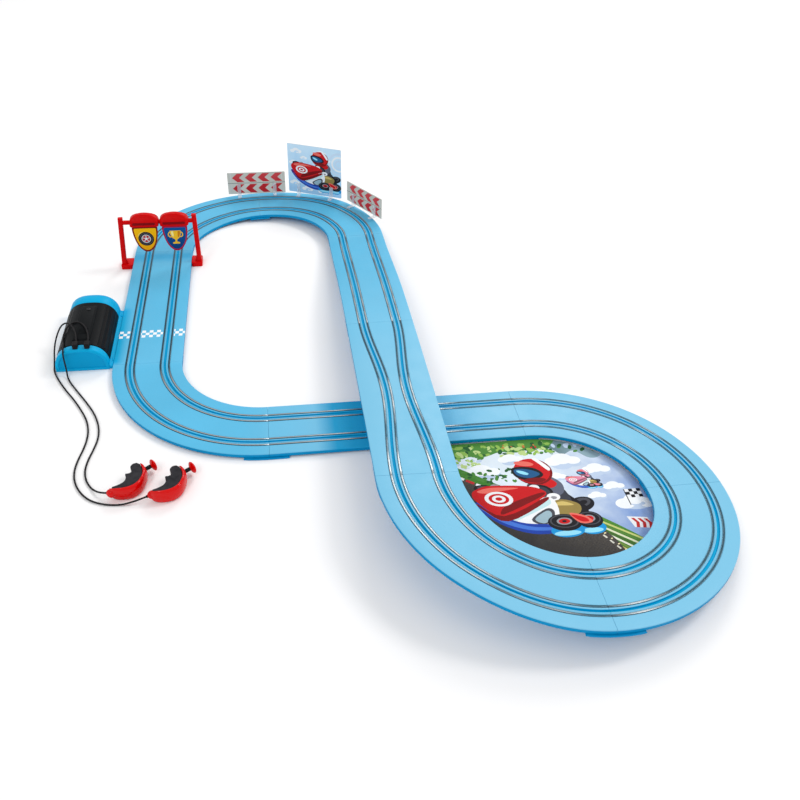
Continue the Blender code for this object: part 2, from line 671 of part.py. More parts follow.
def build_controller(number, centre):
    place = Matrix.Translation((*centre, 0))
    outline = smooth_outline(millimetres(OUTER_EDGE + INNER_EDGE))

    def placed(shape, low, high):
        solid = prism(shape, low, high)
        solid.transform(place)
        return solid

    def recess(scale):
        middle = np.array(RECESS_CENTRE)
        return millimetres([middle + (np.array(p) - middle) * scale for p in RECESS])

    name = f"controller_{number}"
    lower = add_mesh(f"{name}_lower_shell", placed(outline, 0, SHELL_SPLIT), "controller_red")
    combine(lower, placed(recess(1), SHELL_FLOOR, 2 * SHELL_TOP), "DIFFERENCE")
    upper = add_mesh(f"{name}_upper_shell", placed(outline, SHELL_SPLIT + GAP, SHELL_TOP), "controller_red")
    combine(upper, placed(recess(1), 0, 2 * SHELL_TOP), "DIFFERENCE")
    grip = add_mesh(f"{name}_grip", placed(outline, SHELL_FLOOR + GAP, GRIP_TOP), "grip_grey")
    combine(grip, placed(recess(GRIP_SCALE), 0, 2 * SHELL_TOP), "INTERSECT")
    combine(grip, rod(centre, POCKET[0], BORE_END, POCKET_RADIUS), "DIFFERENCE")
    for shell in (lower, upper):
        combine(shell, rod(centre, *POCKET, POCKET_RADIUS), "DIFFERENCE")
        combine(shell, rod(centre, POCKET[1] - 0.001, BORE_END, BORE_RADIUS), "DIFFERENCE")
    for part, profile, start, material in (
            ("plunger", STEM_PROFILE, STEM_START, "plunger_black"),
            ("button", BUTTON_PROFILE, BUTTON_START, "controller_red")):
        turned = add_mesh(f"{name}_{part}", lathe(millimetres(profile)), material, smooth=35)
        turned.matrix_world = axis_matrix(centre, start)
    build_spring(f"{name}_spring", centre)


def build_spring(name, centre):
    """The return spring behind the plunger, a wire coiled about its axis."""
    start = POCKET[0] + GAP + SPRING_WIRE
    length = STEM_START - GAP - SPRING_WIRE - start
    points = []
    for step in range(SPRING_TURNS * 10 + 1):
        turn = 2 * math.pi * step / 10
        along = length * step / (SPRING_TURNS * 10)
        points.append((SPRING_RADIUS * math.cos(turn), SPRING_RADIUS * math.sin(turn), along))
    spring = add_tube(name, points, SPRING_WIRE, 0, "contact_steel")
    spring.matrix_world = axis_matrix(centre, start)


def add_tube(name, points, radius, resolution, material):
    """A round wire or cable along a polyline."""
    curve = bpy.data.curves.new(name, "CURVE")
    curve.dimensions = "3D"
    curve.bevel_depth = radius
    curve.bevel_resolution = resolution
    curve.use_fill_caps = True
    spline = curve.splines.new("POLY")
    spline.points.add(len(points) - 1)
    for point, spot in zip(spline.points, points):
        point.co = (*spot, 1)
    tube = bpy.data.objects.new(name, curve)
    bpy.context.scene.collection.objects.link(tube)
    curve.materials.append(finish(material))
    return tube


# ---------------------------------------------------------------- cables and plugs
CABLE_RADIUS = 0.0011
CABLE_SPACING = 0.0082
PLUG = (0.0070, 0.0118, 0.0064)
PLUG_Y = 0.1738
PLUG_BOTTOM = BOX_HEIGHT + GAP
PRONG_SIZE = (0.0050, 0.0034, 0.0066)

# Route of each cable (millimetres) from its plug, over the cover's edge, along the
# floor in two long bends, and into a controller's tail.
CABLE_ROUTES = {
    "cable_1": (
        (-427.5, 180.0, 39.5), (-428.2, 188, 39.5), (-430.5, 200, 39.5), (-434.5, 213, 39.5),
        (-440.5, 226, 39.4), (-448.5, 234.5, 38.2), (-456.0, 235, 34.5), (-461.5, 228, 27.5),
        (-465.3, 217.5, 18.5), (-466.8, 206, 9.5), (-466.0, 194, 3.2), (-464.2, 181, 1.7),
        (-461.4, 166, 1.2), (-452.7, 145.7, 1.2), (-439.5, 121.3, 1.2), (-425.2, 97.6, 1.2),
        (-412.9, 74.5, 1.2), (-403.2, 52.4, 1.2), (-398.0, 31.2, 1.2), (-397.0, 11.2, 1.2),
        (-399.0, -8.1, 1.2), (-402.2, -26.6, 1.2), (-403.6, -44.8, 1.2), (-401.1, -63.5, 1.2),
        (-392.8, -83.1, 1.2), (-379.1, -99.4, 1.2), (-361.7, -108.6, 1.2), (-342.7, -111.6, 1.3),
        (-326.5, -110.8, 4.2), (-310.2, -107.7, 7.8),
    ),
    "cable_2": (
        (-411.5, 180.0, 39.5), (-412.2, 190, 39.5), (-415.5, 206, 39.4), (-421.5, 222.5, 39.0),
        (-430.5, 235.5, 37.6), (-440.5, 239.5, 35.2), (-448.6, 232, 32.2), (-451.6, 219, 29.6),
        (-450.8, 205, 29.8), (-448.2, 193, 31.6), (-446.2, 183, 33.4), (-445.0, 174.5, 34.4),
        (-444.2, 167.2, 33.6), (-443.8, 162.6, 29.6), (-443.5, 160.8, 23.0), (-443.3, 160.2, 14.0),
        (-442.8, 157.4, 6.2), (-441.0, 150.0, 1.9),
        (-435.2, 137, 1.2), (-421.9, 114, 1.2), (-408.7, 91.5, 1.2), (-397.0, 69.5, 1.2),
        (-388.6, 48, 1.2), (-384.2, 28, 1.2), (-383.6, 9.7, 1.2), (-386.3, -9.4, 1.2),
        (-389.8, -27.9, 1.2), (-391.0, -46.2, 1.2), (-387.4, -64.4, 1.2), (-379.4, -79.5, 1.3),
        (-369.2, -90.4, 4.2), (-357.5, -97.0, 7.8),
    ),
}


def build_cables():
    for name, route in CABLE_ROUTES.items():
        points = smooth_path([tuple(value / 1000 for value in spot) for spot in route], CABLE_SPACING)
        add_tube(name, points, CABLE_RADIUS, 2, "cable_black")
    for number, x in enumerate(SOCKETS, start=1):
        half = PLUG[0] / 2, PLUG[1] / 2
        body = block((x - half[0], PLUG_Y - half[1], PLUG_BOTTOM),
                     (x + half[0], PLUG_Y + half[1], PLUG_BOTTOM + PLUG[2]))
        plug = add_mesh(f"plug_{number}", body, "plunger_black")
        prong = block((x - PRONG_SIZE[0] / 2, SOCKET_Y - PRONG_SIZE[1] / 2, PLUG_BOTTOM - PRONG_SIZE[2]),
                      (x + PRONG_SIZE[0] / 2, SOCKET_Y + PRONG_SIZE[1] / 2, PLUG_BOTTOM + 0.001))
        combine(plug, prong, "UNION")


# ---------------------------------------------------------------- assembly
def centre_on_origin():
    """Moves everything under one empty, so the set stands centred on the origin."""
    bpy.context.view_layer.update()
    solids = [item for item in bpy.data.objects if not item.hide_render]
    own = [item for item in solids if not item.name.startswith(("cable_", "plug_"))]
    corners = np.array([item.matrix_world @ Vector(corner) for item in own for corner in item.bound_box])
    low, high = corners.min(axis=0), corners.max(axis=0)
    root = bpy.data.objects.new("track_set", None)
    bpy.context.scene.collection.objects.link(root)
    root.location = (-0.5 * (low[0] + high[0]), -0.5 * (low[1] + high[1]), 0)
    for item in list(bpy.data.objects):
        if item is not root:
            item.parent = root


def main():
    clear_scene()
    build_track()
    build_rails()
    build_supports()
    build_card()
    build_gantry()
    build_boards()
    build_battery_box()
    for number, centre in enumerate(CONTROLLERS, start=1):
        build_controller(number, centre)
    build_cables()
    centre_on_origin()


main()
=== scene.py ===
"""Slot car track set: the finished looks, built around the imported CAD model.

The layout is drawn in metres with the crossing of the figure of eight at the origin,
x to the east and y to the north, and every piece is placed at the crossing's real spot.
"""

import math

import bmesh
import bpy
import numpy as np
from mathutils import Matrix, Vector, geometry


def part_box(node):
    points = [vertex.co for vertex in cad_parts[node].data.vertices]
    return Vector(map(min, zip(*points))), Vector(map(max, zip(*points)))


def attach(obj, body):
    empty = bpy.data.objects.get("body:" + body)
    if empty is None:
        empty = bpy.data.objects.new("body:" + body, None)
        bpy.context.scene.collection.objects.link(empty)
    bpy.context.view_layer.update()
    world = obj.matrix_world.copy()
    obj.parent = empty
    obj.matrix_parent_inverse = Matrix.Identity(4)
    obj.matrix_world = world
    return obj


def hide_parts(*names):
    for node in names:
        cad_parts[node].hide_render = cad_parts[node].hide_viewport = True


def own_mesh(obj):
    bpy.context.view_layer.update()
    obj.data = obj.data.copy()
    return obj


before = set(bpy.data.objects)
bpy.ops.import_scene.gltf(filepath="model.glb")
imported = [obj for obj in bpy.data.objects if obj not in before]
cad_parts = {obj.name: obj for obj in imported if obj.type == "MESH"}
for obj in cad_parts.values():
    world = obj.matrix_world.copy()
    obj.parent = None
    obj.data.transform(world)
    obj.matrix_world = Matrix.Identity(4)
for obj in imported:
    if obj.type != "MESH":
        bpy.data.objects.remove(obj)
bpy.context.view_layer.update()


def middle_of(node):
    low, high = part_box(node)
    return (low + high) / 2


CROSSING = Vector((*middle_of("bridge_straight").xy, 0))    # layout origin in the row frame

# ---------------------------------------------------------------- driving sizes
RADIUS = 0.1665
WIDTH = 0.096
HALF = 0.5 * WIDTH
DECK_TOP = 0.0075
SKIRT_DEPTH = 0.0055
GAP = 0.0003
LANE_OFFSET = 0.25 * WIDTH
NARROW_OFFSET = 0.14 * WIDTH
RAIL_OFFSET = 0.0058
STRAIGHT = 2 * RADIUS
QUARTER = 0.5 * math.pi * RADIUS


# ---------------------------------------------------------------- camera, floor and lights
CAMERA_TURN = (0.1714, 0.6634, 0.0408)          # radians east of north, downwards, and of roll
CAMERA_PLACE = Vector((-0.143074, -0.858424, 0.723084))
SENSOR_WIDTH, FOCAL_LENGTH = 36.0, 38.169
# name, place, spot it points at, diameter, power, colour
LIGHTS = (
    ("key", (3.3, 0.8, 3.7), (0.0, 0.0, 0.0), 1.3, 60, (1.0, 0.98, 0.95)),
    ("fill", (-1.8, -3.0, 3.2), (0.0, 0.0, 0.0), 2.8, 18, (1.0, 1.0, 1.0)),
    ("glint", (-1.3, -2.3, 2.6), (-0.3, -0.2, 0.0), 0.5, 10, (1.0, 1.0, 1.0)),
    ("sheen", (1.4, 3.2, 3.0), (0.1, -0.2, 0.0), 1.6, 40, (1.0, 0.99, 0.97)),
)
WORLD_LIGHT = 0.72
FLOOR_DROP = 0.0004
FLOOR_REACH = 9.0


def build_camera():
    """The photograph's viewpoint: ten degrees east of north, 38 degrees down, slightly rolled."""
    yaw, pitch, roll = CAMERA_TURN
    forward = Vector((math.sin(yaw) * math.cos(pitch), math.cos(yaw) * math.cos(pitch), -math.sin(pitch)))
    level = Vector((math.cos(yaw), -math.sin(yaw), 0))
    lift = level.cross(forward)
    right = math.cos(roll) * level + math.sin(roll) * lift
    up = math.cos(roll) * lift - math.sin(roll) * level
    data = bpy.data.cameras.new("camera")
    data.sensor_width = SENSOR_WIDTH
    data.lens = FOCAL_LENGTH
    camera = bpy.data.objects.new("camera", data)
    bpy.context.scene.collection.objects.link(camera)
    turn = Matrix((right, up, -forward)).transposed().to_4x4()
    camera.matrix_world = Matrix.Translation(CROSSING + CAMERA_PLACE) @ turn
    bpy.context.scene.camera = camera


def area_light(name, place, target, size, power, colour):
    data = bpy.data.lights.new(name, "AREA")
    data.shape = "DISK"
    data.size = size
    data.energy = power
    data.color = colour
    light = bpy.data.objects.new(name, data)
    bpy.context.scene.collection.objects.link(light)
    light.location = place
    light.rotation_euler = (Vector(target) - Vector(place)).to_track_quat("-Z", "Y").to_euler()


def build_studio():
    """An even white surround, four soft lights and a plain pale floor."""
    scene = bpy.context.scene
    scene.view_settings.view_transform = "Standard"
    world = bpy.data.worlds.new("studio")
    world.use_nodes = True
    background = world.node_tree.nodes["Background"].inputs
    background["Color"].default_value = (1.0, 1.0, 1.0, 1)
    background["Strength"].default_value = WORLD_LIGHT
    scene.world = world
    for light in LIGHTS:
        area_light(*light)
    bm = bmesh.new()
    bmesh.ops.create_grid(bm, x_segments=2, y_segments=2, size=FLOOR_REACH)
    pale = paint("studio_floor", (252, 252, 253), 0.9, grain=0.05, mottle=0.0)
    floor = add_piece("studio_floor", bm, [pale], body=None)
    floor.location.z = -FLOOR_DROP


# ---------------------------------------------------------------- materials
def srgb(red, green, blue):
    """0-255 screen values as the linear values Blender uses."""
    def linear(value):
        value /= 255.0
        return value / 12.92 if value <= 0.04045 else ((value + 0.055) / 1.055) ** 2.4
    return (linear(red), linear(green), linear(blue), 1.0)


FINISHES = {}          # materials made so far, by name


class Graph:
    """A new material, with short ways to add and join its nodes."""

    def __init__(self, name):
        self.material = bpy.data.materials.new(f"{name}_finish")
        FINISHES[name] = self.material
        self.material.use_nodes = True
        self.tree = self.material.node_tree
        self.shader = self.tree.nodes["Principled BSDF"]
        self.place = self.node("ShaderNodeTexCoord").outputs["Object"]

    def node(self, kind, inputs=None, **settings):
        made = self.tree.nodes.new(kind)
        for name, value in settings.items():
            setattr(made, name, value)
        for name, value in (inputs or {}).items():
            self.put(made.inputs[name], value)
        return made

    def put(self, socket, value):
        """Links an output to a socket, or sets the socket's value."""
        if isinstance(value, bpy.types.NodeSocket):
            self.tree.links.new(value, socket)
        else:
            socket.default_value = value

    def set(self, **inputs):
        for name, value in inputs.items():
            self.put(self.shader.inputs[name.replace("_", " ")], value)

    def math(self, operation, first, second=0.0, clamp=False):
        made = self.node("ShaderNodeMath", {0: first, 1: second}, operation=operation, use_clamp=clamp)
        return made.outputs[0]

    def apart(self, first, second):
        """How far apart two values are."""
        return self.math("ABSOLUTE", self.math("SUBTRACT", first, second))

    def axes(self, vector=None):
        return self.node("ShaderNodeSeparateXYZ", {"Vector": vector or self.place}).outputs

    def pointiness(self):
        return self.node("ShaderNodeNewGeometry").outputs["Pointiness"]

    def noise(self, scale, detail=3.0, place=None, stretch=None):
        """Noise at a scale per metre, stretched where a vector is given."""
        place = place or self.place
        if stretch:
            place = self.node("ShaderNodeMapping", {"Vector": place, "Scale": stretch}).outputs[0]
        inputs = {"Vector": place, "Scale": scale, "Detail": detail}
        return self.node("ShaderNodeTexNoise", inputs).outputs["Fac"]

    def blend(self, share, first, second):
        made = self.node("ShaderNodeMix", data_type="RGBA")
        self.put(made.inputs["Factor"], share)
        self.put(made.inputs["A"], first)
        self.put(made.inputs["B"], second)
        return made.outputs["Result"]

    def span(self, value, low, high, first=0.0, last=1.0):
        """The value mapped from low..high to first..last, and held at the ends."""
        inputs = {"Value": value, "From Min": low, "From Max": high, "To Min": first, "To Max": last}
        return self.node("ShaderNodeMapRange", inputs).outputs[0]

    def ramp(self, value, stops):
        """The value looked up in (place, brightness) stops."""
        made = self.node("ShaderNodeValToRGB", {"Fac": value})
        elements = made.color_ramp.elements
        while len(elements) < len(stops):
            elements.new(0.5)
        for element, (place, level) in zip(elements, stops):
            element.position = place
            element.color = (level, level, level, 1.0)
        return made.outputs["Color"]

    def bump(self, height, distance, strength=1.0):
        inputs = {"Height": height, "Distance": distance, "Strength": strength}
        return self.node("ShaderNodeBump", inputs).outputs[0]


def shade(colour, factor):
    """A colour made darker or lighter, for the two ends of a mottled finish."""
    return (*(min(channel * factor, 1.0) for channel in colour[:3]), 1.0)


def paint(name, colour, roughness, grain=1.0, mottle=0.05, metallic=0.0, level=0.08):
    """Moulded plastic or paint: cloudy tone, fine grain, faint scuffs and rubbed edges."""
    if name in FINISHES:
        return FINISHES[name]
    g = Graph(name)
    base = srgb(*colour)
    cloud = g.span(g.noise(22, 4.0), 0.3, 0.7)
    tone = g.blend(cloud, shade(base, 1 - mottle), shade(base, 1 + mottle))
    worn = g.span(g.pointiness(), 0.55, 0.64, 0.0, 0.18)
    tone = g.blend(worn, tone, shade(base, 1.2))
    scuff = g.noise(60, 5.0, stretch=(1.0, 9.0, 1.0))
    fine = g.noise(2600, 2.0)
    g.set(Base_Color=tone, Metallic=metallic, Specular_IOR_Level=level)
    g.set(Roughness=g.span(scuff, 0.25, 0.75, roughness - 0.05, roughness + 0.07))
    g.set(Normal=g.bump(g.math("ADD", fine, g.math("MULTIPLY", scuff, 0.35)), 0.00006 * grain))
    return g.material


TRACK_COLOUR = (78, 182, 224)
WORN_COLOUR = (196, 232, 246)       # rubbed edges
PAINTED_SHEEN_COLOUR = (114, 190, 224)      # painted sheen: the roadway's paler blue in the loop
GANTRY_SHADE_COLOUR = (0, 152, 206)         # painted shade by the gantry, just before the first far curve
BRIDGE_SHADOW_COLOUR = (0, 162, 214)        # painted shadow below the bridge
BOX_SHADE_COLOUR = (0, 168, 218)       # painted shade beside the battery box
DEEP_COLOUR = (0, 140, 196)         # undersides and supports; on the skirts also painted shade
# The slots' lining is a lighter copy of the deeper blue: painted light against the shade inside them
SLOT_COLOUR = (0, 178, 222)
CELL_COLOUR = (246, 249, 252)
GANTRY_SHADE_Y = 3 * RADIUS - 0.018         # middle of the band of painted shade by the gantry
BOX_MIDDLE = 0.2420                 # the battery box's middle, along the start straight
START_EDGE = -2 * RADIUS - HALF     # outer edge of the start straight
START_CELL = (0.0054, 0.0062)       # size of a chequered cell, across and along the roadway
START_CORNER = (-0.3800, 0.2330)
START_ROWS = 3
START_CLEAR = 0.0082                # cells closer to a slot than this are left out


def track_top(name, start_line=False, underpass=False):
    """The roadway's light blue, with painted sheen in the loop and painted shade by the gantry, below the
    bridge and beside the battery box, and with the start line.
    """
    g = Graph(name)
    base = srgb(*TRACK_COLOUR)
    cloud = g.span(g.noise(9, 4.0), 0.3, 0.7)
    tone = g.blend(cloud, shade(base, 0.95), shade(base, 1.05))
    speck = g.span(g.noise(420, 3.0), 0.62, 0.80, 0.0, 0.10)
    tone = g.blend(speck, tone, shade(base, 1.30))
    tone = g.blend(g.span(g.pointiness(), 0.52, 0.60, 0.0, 0.08), tone, srgb(*WORN_COLOUR))
    x, y = g.axes()[:2]
    # Painted sheen: a paler blue towards the bridge and the loop
    painted_sheen = g.math("MULTIPLY", g.span(x, -0.20, -0.06), g.span(y, 0.34, 0.05))
    tone = g.blend(painted_sheen, tone, srgb(*PAINTED_SHEEN_COLOUR))
    # Painted shade: a deeper band across the roadway by the gantry
    deep = g.math("MULTIPLY", g.span(g.apart(y, GANTRY_SHADE_Y), 0.004, 0.024, 0.60, 0.0), g.span(x, -0.25, -0.27))
    tone = g.blend(deep, tone, srgb(*GANTRY_SHADE_COLOUR))
    if underpass:
        # Painted shadow of the bridge on the roadway below it
        below = g.math("MULTIPLY", g.span(x, -0.105, -0.080), g.span(x, 0.0, 0.13, 0.90, 0.0))
        deep = g.math("MAXIMUM", deep, below)
        tone = g.blend(below, tone, srgb(*BRIDGE_SHADOW_COLOUR))
    if start_line:
        # Painted shade on the roadway beside the battery box
        edge = g.span(x, START_EDGE + 0.004, START_EDGE + 0.015, 0.92, 0.0)
        box_shade = g.math("MULTIPLY", g.span(g.apart(y, BOX_MIDDLE), 0.068, 0.080, 1.0, 0.0), edge)
        deep = g.math("MAXIMUM", deep, box_shade)
        tone = g.blend(box_shade, tone, srgb(*BOX_SHADE_COLOUR))
        tone = g.blend(start_cells(g, x, y), tone, srgb(*CELL_COLOUR))
    fine = g.noise(1900, 2.0)
    # The painted shade and shadow masks also lower the gloss
    g.set(Base_Color=tone, Specular_IOR_Level=g.span(deep, 0.0, 1.0, 0.40, 0.04))
    g.set(Roughness=g.span(g.noise(45, 4.0), 0.3, 0.7, 0.38, 0.50))
    g.set(Normal=g.bump(fine, 0.00007))
    return g.material


def start_cells(g, x, y):
    """1 on the white cells of the chequered start line, kept clear of slots and rails."""
    across = g.math("DIVIDE", g.math("SUBTRACT", x, START_CORNER[0]), START_CELL[0])
    along = g.math("DIVIDE", g.math("SUBTRACT", y, START_CORNER[1]), START_CELL[1])
    cells = g.math("ADD", g.math("FLOOR", across), g.math("FLOOR", along))
    white = g.math("LESS_THAN", g.math("ABSOLUTE", g.math("MODULO", cells, 2.0)), 0.5)
    inside = g.math("COMPARE", along, START_ROWS / 2)
    inside.node.inputs[2].default_value = START_ROWS / 2
    clear = g.math("GREATER_THAN", g.apart(g.apart(x, -2 * RADIUS), LANE_OFFSET), START_CLEAR)
    worn = g.span(g.noise(700, 3.0), 0.30, 0.42, 0.75, 1.0)
    return g.math("MULTIPLY", g.math("MULTIPLY", white, inside), g.math("MULTIPLY", clear, worn))


RAIL_CROWN, RAIL_FLAT = 0.0014, 0.0003      # middle of a strip's girth, and half its flat top
# Painted reflection along the lap, in darker and paler stretches: share of the lap, and 0 for dark to 1 for
# pale
RAIL_PAINTED_REFLECTION = (
    (0.0, 0.30), (0.04, 0.36), (0.12, 0.62), (0.17, 0.55), (0.24, 0.40), (0.34, 0.36), (0.40, 0.55),
    (0.50, 0.72), (0.56, 0.66), (0.60, 0.34), (0.70, 0.30), (0.78, 0.50), (0.90, 0.60), (0.99, 0.56),
)


def rail_metal():
    """Drawn steel strip: streaks along the strip, with painted reflection in darker and brighter stretches
    and on its rolled edges.
    """
    g = Graph("rail_metal")
    line = g.node("ShaderNodeTexCoord").outputs["UV"]
    streak = g.noise(1.0, 4.0, place=line, stretch=(60.0, 9000.0, 1.0))
    along, across = g.axes(line)[:2]
    lean = g.ramp(g.math("DIVIDE", along, LAP), RAIL_PAINTED_REFLECTION)
    patch = g.noise(1.0, 2.0, place=line, stretch=(9.0, 1.0, 1.0))
    patch = g.span(g.math("ADD", patch, lean), 0.94, 1.10)
    dark, pale = srgb(40, 76, 92), srgb(172, 180, 184)
    crown = g.blend(g.span(streak, 0.45, 0.75, 0.0, 0.25), g.blend(patch, dark, pale), srgb(130, 146, 152))
    # The rolled edges take the opposite painted reflection: paler where the crown is darker
    rolled = g.math("GREATER_THAN", g.apart(across, RAIL_CROWN), RAIL_FLAT)
    tone = g.blend(rolled, crown, g.blend(patch, srgb(120, 138, 146), srgb(40, 66, 80)))
    g.set(Base_Color=tone, Metallic=1.0, Roughness=g.span(streak, 0.3, 0.7, 0.30, 0.46))
    g.set(Normal=g.bump(streak, 0.00003))
    return g.material


def ink(name, first, second=None, axis=(0, 1, 0), reach=(-0.1, 0.1), cloud=0.0, streak=None):
    """Printed colour on card, flat or fading from one colour to another along an axis.

    cloud is how far the fade wanders, and streak a stretch for streaks of the second colour.
    """
    if name in FINISHES:
        return FINISHES[name]
    g = Graph(name)
    start = srgb(*first)
    tone = g.blend(g.span(g.noise(30, 3.0), 0.3, 0.7), shade(start, 0.95), shade(start, 1.05))
    if second:
        along = g.node("ShaderNodeVectorMath", {0: g.place, 1: axis}, operation="DOT_PRODUCT")
        along = along.outputs["Value"]
        wander = g.math("MULTIPLY", g.math("SUBTRACT", g.noise(34, 5.0), 0.5), cloud)
        share = g.span(g.math("ADD", along, wander), *reach)
        if streak:
            share = g.math("MULTIPLY", share, g.span(g.noise(40, 4.0, stretch=streak), 0.42, 0.60))
        tone = g.blend(share, tone, srgb(*second))
    dots = g.noise(1500, 2.0)
    tone = g.blend(g.span(dots, 0.35, 0.65, 0.0, 0.01), tone, (1, 1, 1, 1))
    g.set(Base_Color=tone, Roughness=0.5, Specular_IOR_Level=0.06)
    g.set(Normal=g.bump(dots, 0.00003))
    return g.material


def clear_plastic():
    g = Graph("clear_plastic")
    fine = g.noise(500, 2.0)
    g.set(Base_Color=srgb(250, 252, 255), Roughness=g.span(fine, 0.3, 0.7, 0.10, 0.20), IOR=1.40)
    g.set(Transmission_Weight=0.10, Alpha=g.span(fine, 0.3, 0.7, 0.32, 0.40), Normal=g.bump(fine, 0.00005))
    return g.material


def grip_rubber():
    """Soft-touch rubber: a fine pebbled skin with slightly polished high spots."""
    g = Graph("grip_rubber")
    cells = g.node("ShaderNodeTexVoronoi", {"Vector": g.place, "Scale": 1500.0}).outputs["Distance"]
    cloud = g.span(g.noise(140, 4.0), 0.3, 0.7)
    g.set(Base_Color=g.blend(cloud, srgb(40, 40, 44), srgb(58, 57, 61)), Specular_IOR_Level=0.06)
    g.set(Roughness=g.span(cells, 0.0, 0.6, 0.50, 0.72), Normal=g.bump(cells, 0.00012))
    return g.material


# ---------------------------------------------------------------- mesh helpers
def add_piece(name, bm, materials, body="root", replaces=(), slot=None, smooth=None):
    """Makes a piece in layout coordinates; smooth is the angle in degrees of its sharp edges."""
    bmesh.ops.recalc_face_normals(bm, faces=bm.faces)
    mesh = bpy.data.meshes.new(name)
    bm.to_mesh(mesh)
    bm.free()
    return add_object(name, mesh, materials, body, replaces, slot, smooth)


def add_object(name, data, materials, body, replaces, slot, smooth=None):
    """Puts a mesh or curve at its place in the row frame and hides the CAD parts it replaces."""
    for material in materials:
        data.materials.append(material)
    if smooth:
        data.shade_smooth()
        data.set_sharp_from_angle(angle=math.radians(smooth))
    piece = bpy.data.objects.new(name, data)
    bpy.context.scene.collection.objects.link(piece)
    if body:
        piece.location = CROSSING
        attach(piece, body)
    if replaces:
        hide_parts(*([replaces] if isinstance(replaces, str) else replaces))
    return piece


def loft(rings, closed_path=False, bm=None, zones=None):
    """Joins rings of equal point counts into a closed body; zones gives each side face a material."""
    bm = bm or bmesh.new()
    rows = [[bm.verts.new(point) for point in ring] for ring in rings]
    count = len(rings[0])
    last = len(rows) if closed_path else len(rows) - 1
    for i in range(last):
        here, there = rows[i], rows[(i + 1) % len(rows)]
        for k in range(count):
            j = (k + 1) % count
            face = bm.faces.new((here[k], here[j], there[j], there[k]))
            if zones:
                face.material_index = zones[k]
    if not closed_path:
        for row in (rows[0], rows[-1]):
            bm.faces.new(row)
    return bm


def signed_area(spots):
    """Twice the area inside a closed outline, above zero for an anticlockwise one."""
    after = np.roll(spots, -1, axis=0)
    return np.sum(spots[:, 0] * after[:, 1] - after[:, 0] * spots[:, 1])


def offset_outline(points, distance):
    """A closed outline moved inwards by a distance along its corner normals."""
    spots = np.array(points, float)
    side = np.roll(spots, -1, axis=0) - np.roll(spots, 1, axis=0)
    normal = np.stack((-side[:, 1], side[:, 0]), axis=1) * math.copysign(1, signed_area(spots))
    normal /= np.linalg.norm(normal, axis=1)[:, None]
    return [tuple(spot) for spot in spots + normal * distance]


def upright(a, b, c):
    """Puts a front outline (across, up) and a depth into the layout."""
    return (a, c, b)


def rounded_prism(outline, low, high, edge=0.0008, bm=None, place=None, steps=3, round_low=True):
    """A straight-sided solid whose upper and lower edges are rounded."""
    place = place or (lambda a, b, c: (a, b, c))
    levels = []
    turns = [0.5 * math.pi * k / steps for k in range(steps + 1)]
    if round_low:
        levels += [(edge * (1 - math.sin(t)), low + edge * (1 - math.cos(t))) for t in turns]
    else:
        levels.append((0.0, low))
    levels += [(edge * (1 - math.cos(t)), high - edge * (1 - math.sin(t))) for t in turns]
    rings = [[place(a, b, level) for a, b in offset_outline(outline, inset)] for inset, level in levels]
    return loft(rings, bm=bm)


def box_outline(low, high, corner=0.001, steps=3):
    """A rectangle with rounded corners."""
    points = []
    corners = ((high[0], high[1]), (low[0], high[1]), (low[0], low[1]), (high[0], low[1]))
    for start, (x, y) in enumerate(corners):
        middle = (x - math.copysign(corner, x - (low[0] + high[0]) / 2),
                  y - math.copysign(corner, y - (low[1] + high[1]) / 2))
        for k in range(steps + 1):
            t = 0.5 * math.pi * (start + k / steps)
            points.append((middle[0] + corner * math.cos(t), middle[1] + corner * math.sin(t)))
    return points


def rounded_block(low, high, edge=0.0006, corner=0.001, bm=None):
    return rounded_prism(box_outline(low[:2], high[:2], corner), low[2], high[2], edge, bm=bm)


def lathe(profile, sides=40, bm=None):
    """A turned solid about local Z from (radius, z) points that start and end on the axis."""
    bm = bm or bmesh.new()
    rows = []
    for radius, z in profile:
        if radius == 0:
            rows.append([bm.verts.new((0, 0, z))] * sides)
        else:
            turn = [2 * math.pi * k / sides for k in range(sides)]
            rows.append([bm.verts.new((radius * math.cos(t), radius * math.sin(t), z)) for t in turn])
    for lower, upper in zip(rows, rows[1:]):
        for k in range(sides):
            j = (k + 1) % sides
            bm.faces.new(tuple(dict.fromkeys((lower[k], lower[j], upper[j], upper[k]))))
    return bm


def moved(bm, matrix, since=0):
    """Moves the vertices made since a count, so that shapes can be added to one mesh."""
    bm.verts.ensure_lookup_table()
    bmesh.ops.transform(bm, matrix=matrix, verts=bm.verts[since:])
    return bm


def cut(piece, bm):
    """Cuts a helper solid out of a piece, and leaves only the result."""
    mesh = bpy.data.meshes.new("cutter")
    bmesh.ops.recalc_face_normals(bm, faces=bm.faces)
    bm.to_mesh(mesh)
    bm.free()
    cutter = bpy.data.objects.new("cutter", mesh)
    bpy.context.scene.collection.objects.link(cutter)
    cutter.location = CROSSING
    change = piece.modifiers.new("cut", "BOOLEAN")
    change.operation = "DIFFERENCE"
    change.solver = "EXACT"
    change.object = cutter
    with bpy.context.temp_override(object=piece, active_object=piece):
        bpy.ops.object.modifier_apply(modifier="cut")
    bpy.data.objects.remove(cutter)
    bpy.data.meshes.remove(mesh)


